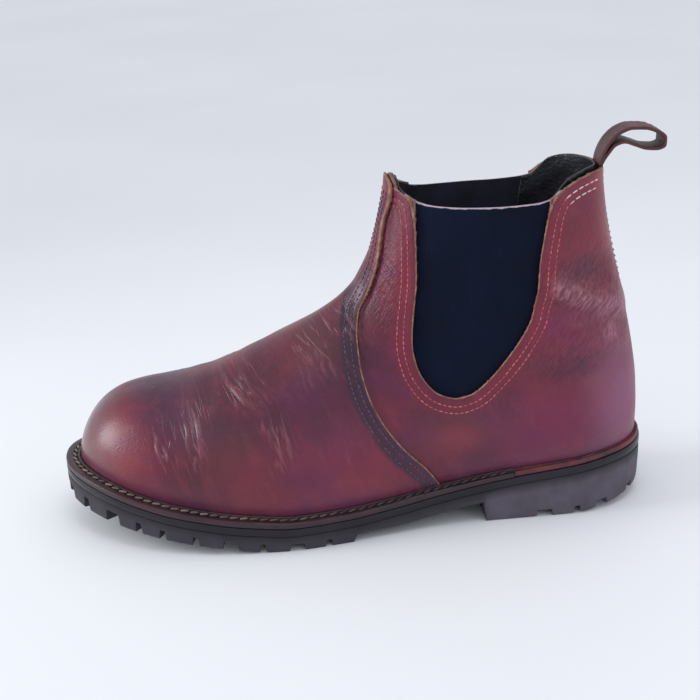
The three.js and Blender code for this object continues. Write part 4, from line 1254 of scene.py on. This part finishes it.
def outsole_stations():
    """Places along the sole and what is there: its region, and whether the edge and the middle are cut."""
    marks = {}

    def mark(x, region, edge_cut=False):
        marks[round(x, 3)] = [region, edge_cut]

    for x in np.linspace(SOLE_BACK, HEEL_BREAST, 46):
        mark(x, "heel")
    for x in np.linspace(HEEL_BREAST + 1.6, TREAD_START - 1.6, 22):
        mark(x, "waist")
    for x in np.linspace(TREAD_START, SOLE_FRONT, 84):
        mark(x, "fore")
    for places, region in ((HEEL_GROOVES, "heel"), (FORE_GROOVES, "fore")):
        for centre, width in places:
            half = width / 2
            mouth = half + GROOVE_FLARE
            for x in [x for x in marks if abs(x - centre) < mouth + 0.3]:
                del marks[x]
            for x, cut in ((-mouth, False), (-half, True), (half, True), (mouth, False)):
                mark(centre + x, region, cut)
    stations = []
    for x in sorted(marks):
        region, edge_cut = marks[x]
        middle_cut = region == "fore" and any(abs(x - c) < CENTRE_GROOVE / 2 for c in CENTRE_GROOVES)
        s = s_at_edge_x(min(max(x, SOLE_BACK), SOLE_FRONT))
        stations.append((s, region, edge_cut, middle_cut))
    stations[0] = (0.0, *stations[0][1:])
    stations[-1] = (1.0, *stations[-1][1:])
    return stations


def sole_top(x):
    return feather(x) - OUTSOLE_TOP


def sole_base(x):
    """Underside of the outsole without its lugs."""
    return sole_top(x) - base_thick(x)


def outsole_ring(s, region, edge_cut, middle_cut):
    """One cross-section of the outsole, cut by the grooves that its station has."""
    ground = {"heel": heel_tread, "waist": sole_base, "fore": tread}[region]
    at_heel = region == "heel"

    def roof(x):
        return heel_tread(x) + TREAD_DEPTH if at_heel else sole_base(x)

    edge_foot = roof if edge_cut else ground
    taper = 0.9 if at_heel else 0.4

    def bevel(x):
        return edge_foot(x) + 0.7 if at_heel else min(edge_foot(x) + 0.7, roof(x))

    def section(edge):
        return [
            (edge - 18, sole_top), (edge - 0.6, sole_top),
            (edge, lambda x: sole_top(x) - 0.6), (edge, sole_base),
            (edge - taper * 0.6, lambda x: min(sole_base(x), roof(x) + 0.01)),
            (edge - taper, bevel), (edge - taper - 0.7, edge_foot), (edge - 12.2, edge_foot),
            (edge - 13.2, ground), (edge - 14.2, ground), (edge - 14.8, roof), (edge - 17.2, roof),
            (edge - 17.8, ground), (edge - 19, ground), (edge - 20, roof if middle_cut else ground),
        ]

    left, right = (half_section(s, side, lambda x: section(float(sole_edge(x)))) for side in (1, -1))
    return left + right[::-1]


def outsole():
    rings = np.array([outsole_ring(*station) for station in outsole_stations()])
    faces = grid_faces(len(rings), rings.shape[1], True)
    piece = swept("lugged_outsole", rings, faces, OUTSOLE_RUBBER, "outsole", 0.03, 30)
    along, _, height = np.array([v.co for v in piece.data.vertices]).T / MM - SHIFT[:, None]
    depth = feather(along) - height
    heel = smooth((HEEL_BREAST + 4 - along) / 6)
    paint(piece, dust=smooth((depth - 9.5) / 3) * (0.3 + 0.55 * heel))


def sole():
    rand_start = WELT_START - LAYER_GAP
    band("storm_welt", welt_section, WELT_LEATHER, "welt", WELT_START, True)
    band("heel_rand_strip", rand_section, RAND_LEATHER, "heel_rand", rand_start, False)
    piece = slab("midsole_rubber", midsole_section, MIDSOLE_RUBBER, "midsole")
    paint(piece, dust=[0.0] * len(piece.data.vertices))
    slab("insole_board", inner_slab(5.6, 0.3, 3.3), INSOLE_LEATHER, "insole")
    welt_stitches()
    outsole()


sole()


# ---- Pull loop ----


def strap_path():
    """The strap's middle line in side view: up from inside the back, round the loop and down again."""
    rise = [(back_x(z) + 3.0, z) for z in (154, 162, 170)]
    fall = [(16, 185.6), (19, 182.2), (21.6, 178.4)]
    fall += [(back_x(z) + inside, z) for z, inside in ((170, 3.9), (162, 3.8), (156, 3.7))]
    return Path([*rise, *LOOP, *fall])


def strap():
    path = strap_path()
    count = 150
    s = np.linspace(0, path.length, count)
    line = path(s)
    along = np.gradient(line, axis=0)
    along /= np.linalg.norm(along, axis=1, keepdims=True)
    across = np.column_stack([-along[:, 1], along[:, 0]])
    from_end = np.minimum(s, path.length - s)
    thick = mix(STRAP_END_THICK, STRAP_THICK, smooth((from_end - 12) / 14))
    turn = np.linspace(0, 2 * np.pi, 28, endpoint=False)
    profile = np.column_stack([np.cos(turn), np.sin(turn)])
    profile = np.sign(profile) * np.abs(profile) ** STRAP_SQUARE
    rings = np.empty((count, len(profile), 3))
    for i, (width, depth) in enumerate(profile):
        offset = across * (depth * thick / 2)[:, None]
        rings[:, i, 0] = line[:, 0] + offset[:, 0]
        rings[:, i, 1] = width * STRAP_WIDTH / 2
        rings[:, i, 2] = line[:, 1] + offset[:, 1]
    faces = grid_faces(count, len(profile), True)
    faces.append(list(range(len(profile)))[::-1])
    faces.append([(count - 1) * len(profile) + i for i in range(len(profile))])
    piece = make_piece("pull_strap", rings.reshape(-1, 3), faces, [STRAP, STRAP_EDGE], body=None)
    tidy_mesh(piece, 0.004, 40)
    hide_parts("pull_loop", "pull_loop_tail")
    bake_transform(piece)
    strap_stitches(path)


def strap_stitches(path):
    """A row along each edge of the loop's outer side."""
    place, along, normal = [], [], []
    for at in np.arange(36, 62, STRAP_PITCH):
        here, ahead = path(at), path(at + 0.1) - path(at)
        ahead = ahead / np.linalg.norm(ahead)
        outward = np.array([ahead[1], 0, -ahead[0]])
        for y in (-STRAP_ROW, STRAP_ROW):
            place.append(np.array([here[0], y, here[1]]) + outward * STRAP_THICK / 2)
            along.append((ahead[0], 0, ahead[1]))
            normal.append(outward)
    shades = [0.4] * len(place)
    beads("strap_stitches", place, along, normal, STRAP_STITCH, GORE_THREAD, shades, body="pull_loop")


strap()


# ---- Materials of the CAD nodes that stay ----


def dress(node, material):
    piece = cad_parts[node]
    piece.data.materials.clear()
    piece.data.materials.append(material)


dress("heel_sock", LINING)
dress("cork_filler", CORK)
for part in ("insole_rib", "toe_puff", "heel_counter"):
    dress(part, FIBRE)
for part in ("shank", *(f"heel_nail_{number}" for number in range(1, 6))):
    dress(part, STEEL)


# ---- Floor, light and camera ----

FLOOR_REACH = 40.0  # metres, so that no edge of the floor is seen


def floor():
    b = Builder("pale_floor")
    tone = b.ramp(b.noise(2.5, 2), [(0.35, (0.86, 0.875, 0.895)), (0.7, (0.89, 0.905, 0.925))])
    b.link(tone, "Base Color")
    b.set(Roughness=0.7)
    mesh = bpy.data.meshes.new("floor")
    reach = FLOOR_REACH
    corners = [(-reach, -reach, 0), (reach, -reach, 0), (reach, reach, 0), (-reach, reach, 0)]
    mesh.from_pydata(corners, [], [(0, 1, 2, 3)])
    mesh.materials.append(b.material)
    plane = bpy.data.objects.new("floor", mesh)
    bpy.context.scene.collection.objects.link(plane)


def area_light(name, position, target, size, power, tint, spread=180):
    data = bpy.data.lights.new(name, "AREA")
    data.shape = "RECTANGLE"
    data.size, data.size_y = size
    data.energy = power
    data.color = tint
    data.spread = math.radians(spread)
    light = bpy.data.objects.new(name, data)
    light.location = position
    light.rotation_euler = (Vector(target) - Vector(position)).to_track_quat("-Z", "Y").to_euler()
    bpy.context.scene.collection.objects.link(light)


def lights():
    world = bpy.data.worlds.new("soft_daylight")
    world.use_nodes = True
    sky = world.node_tree.nodes["Background"]
    sky.inputs["Color"].default_value = (0.9, 0.93, 0.99, 1)
    sky.inputs["Strength"].default_value = 0.84
    bpy.context.scene.world = world
    area_light("window", (1.2, 0.0, 0.48), (0.1, 0, 0.06), (0.5, 1.0), 1.4, (0.98, 1.0, 1.0), 60)
    area_light("overhead", (-0.1, 0.5, 1.5), (0, 0, 0.08), (0.5, 0.5), 2.2, (0.98, 0.98, 1.0))
    area_light("rear_side", (-0.9, 0.9, 0.5), (-0.1, 0, 0.08), (0.7, 0.7), 1.8, (0.94, 0.96, 1.0))


# The point it looks at, in the design's frame; angles in degrees; distance and lens in millimetres.
CAMERA_TARGET = (151.48, 0, 84.07)
CAMERA_AZIMUTH, CAMERA_ELEVATION, CAMERA_ROLL = 1.91, 20.15, -2.82
CAMERA_DISTANCE = 698.65
CAMERA_LENS = 68.94


def camera():
    azimuth, elevation, roll = map(math.radians, (CAMERA_AZIMUTH, CAMERA_ELEVATION, CAMERA_ROLL))
    level = math.cos(elevation)
    toward = Vector((math.sin(azimuth) * level, math.cos(azimuth) * level, math.sin(elevation)))
    right = (-toward).cross(Vector((0, 0, 1))).normalized()
    up = right.cross(-toward)
    turned_right = math.cos(roll) * right + math.sin(roll) * up
    turned_up = -math.sin(roll) * right + math.cos(roll) * up
    data = bpy.data.cameras.new("camera")
    data.lens = CAMERA_LENS
    data.sensor_width = 36
    data.clip_start, data.clip_end = 0.01, 50
    view = bpy.data.objects.new("camera", data)
    rotation = Matrix((turned_right, turned_up, toward)).transposed().to_4x4()
    target = Vector(to_row(CAMERA_TARGET))
    view.matrix_world = Matrix.Translation(target + toward * CAMERA_DISTANCE * MM) @ rotation
    bpy.context.scene.collection.objects.link(view)
    bpy.context.scene.camera = view


floor()
lights()
camera()
bpy.context.scene.view_settings.view_transform = "Standard"
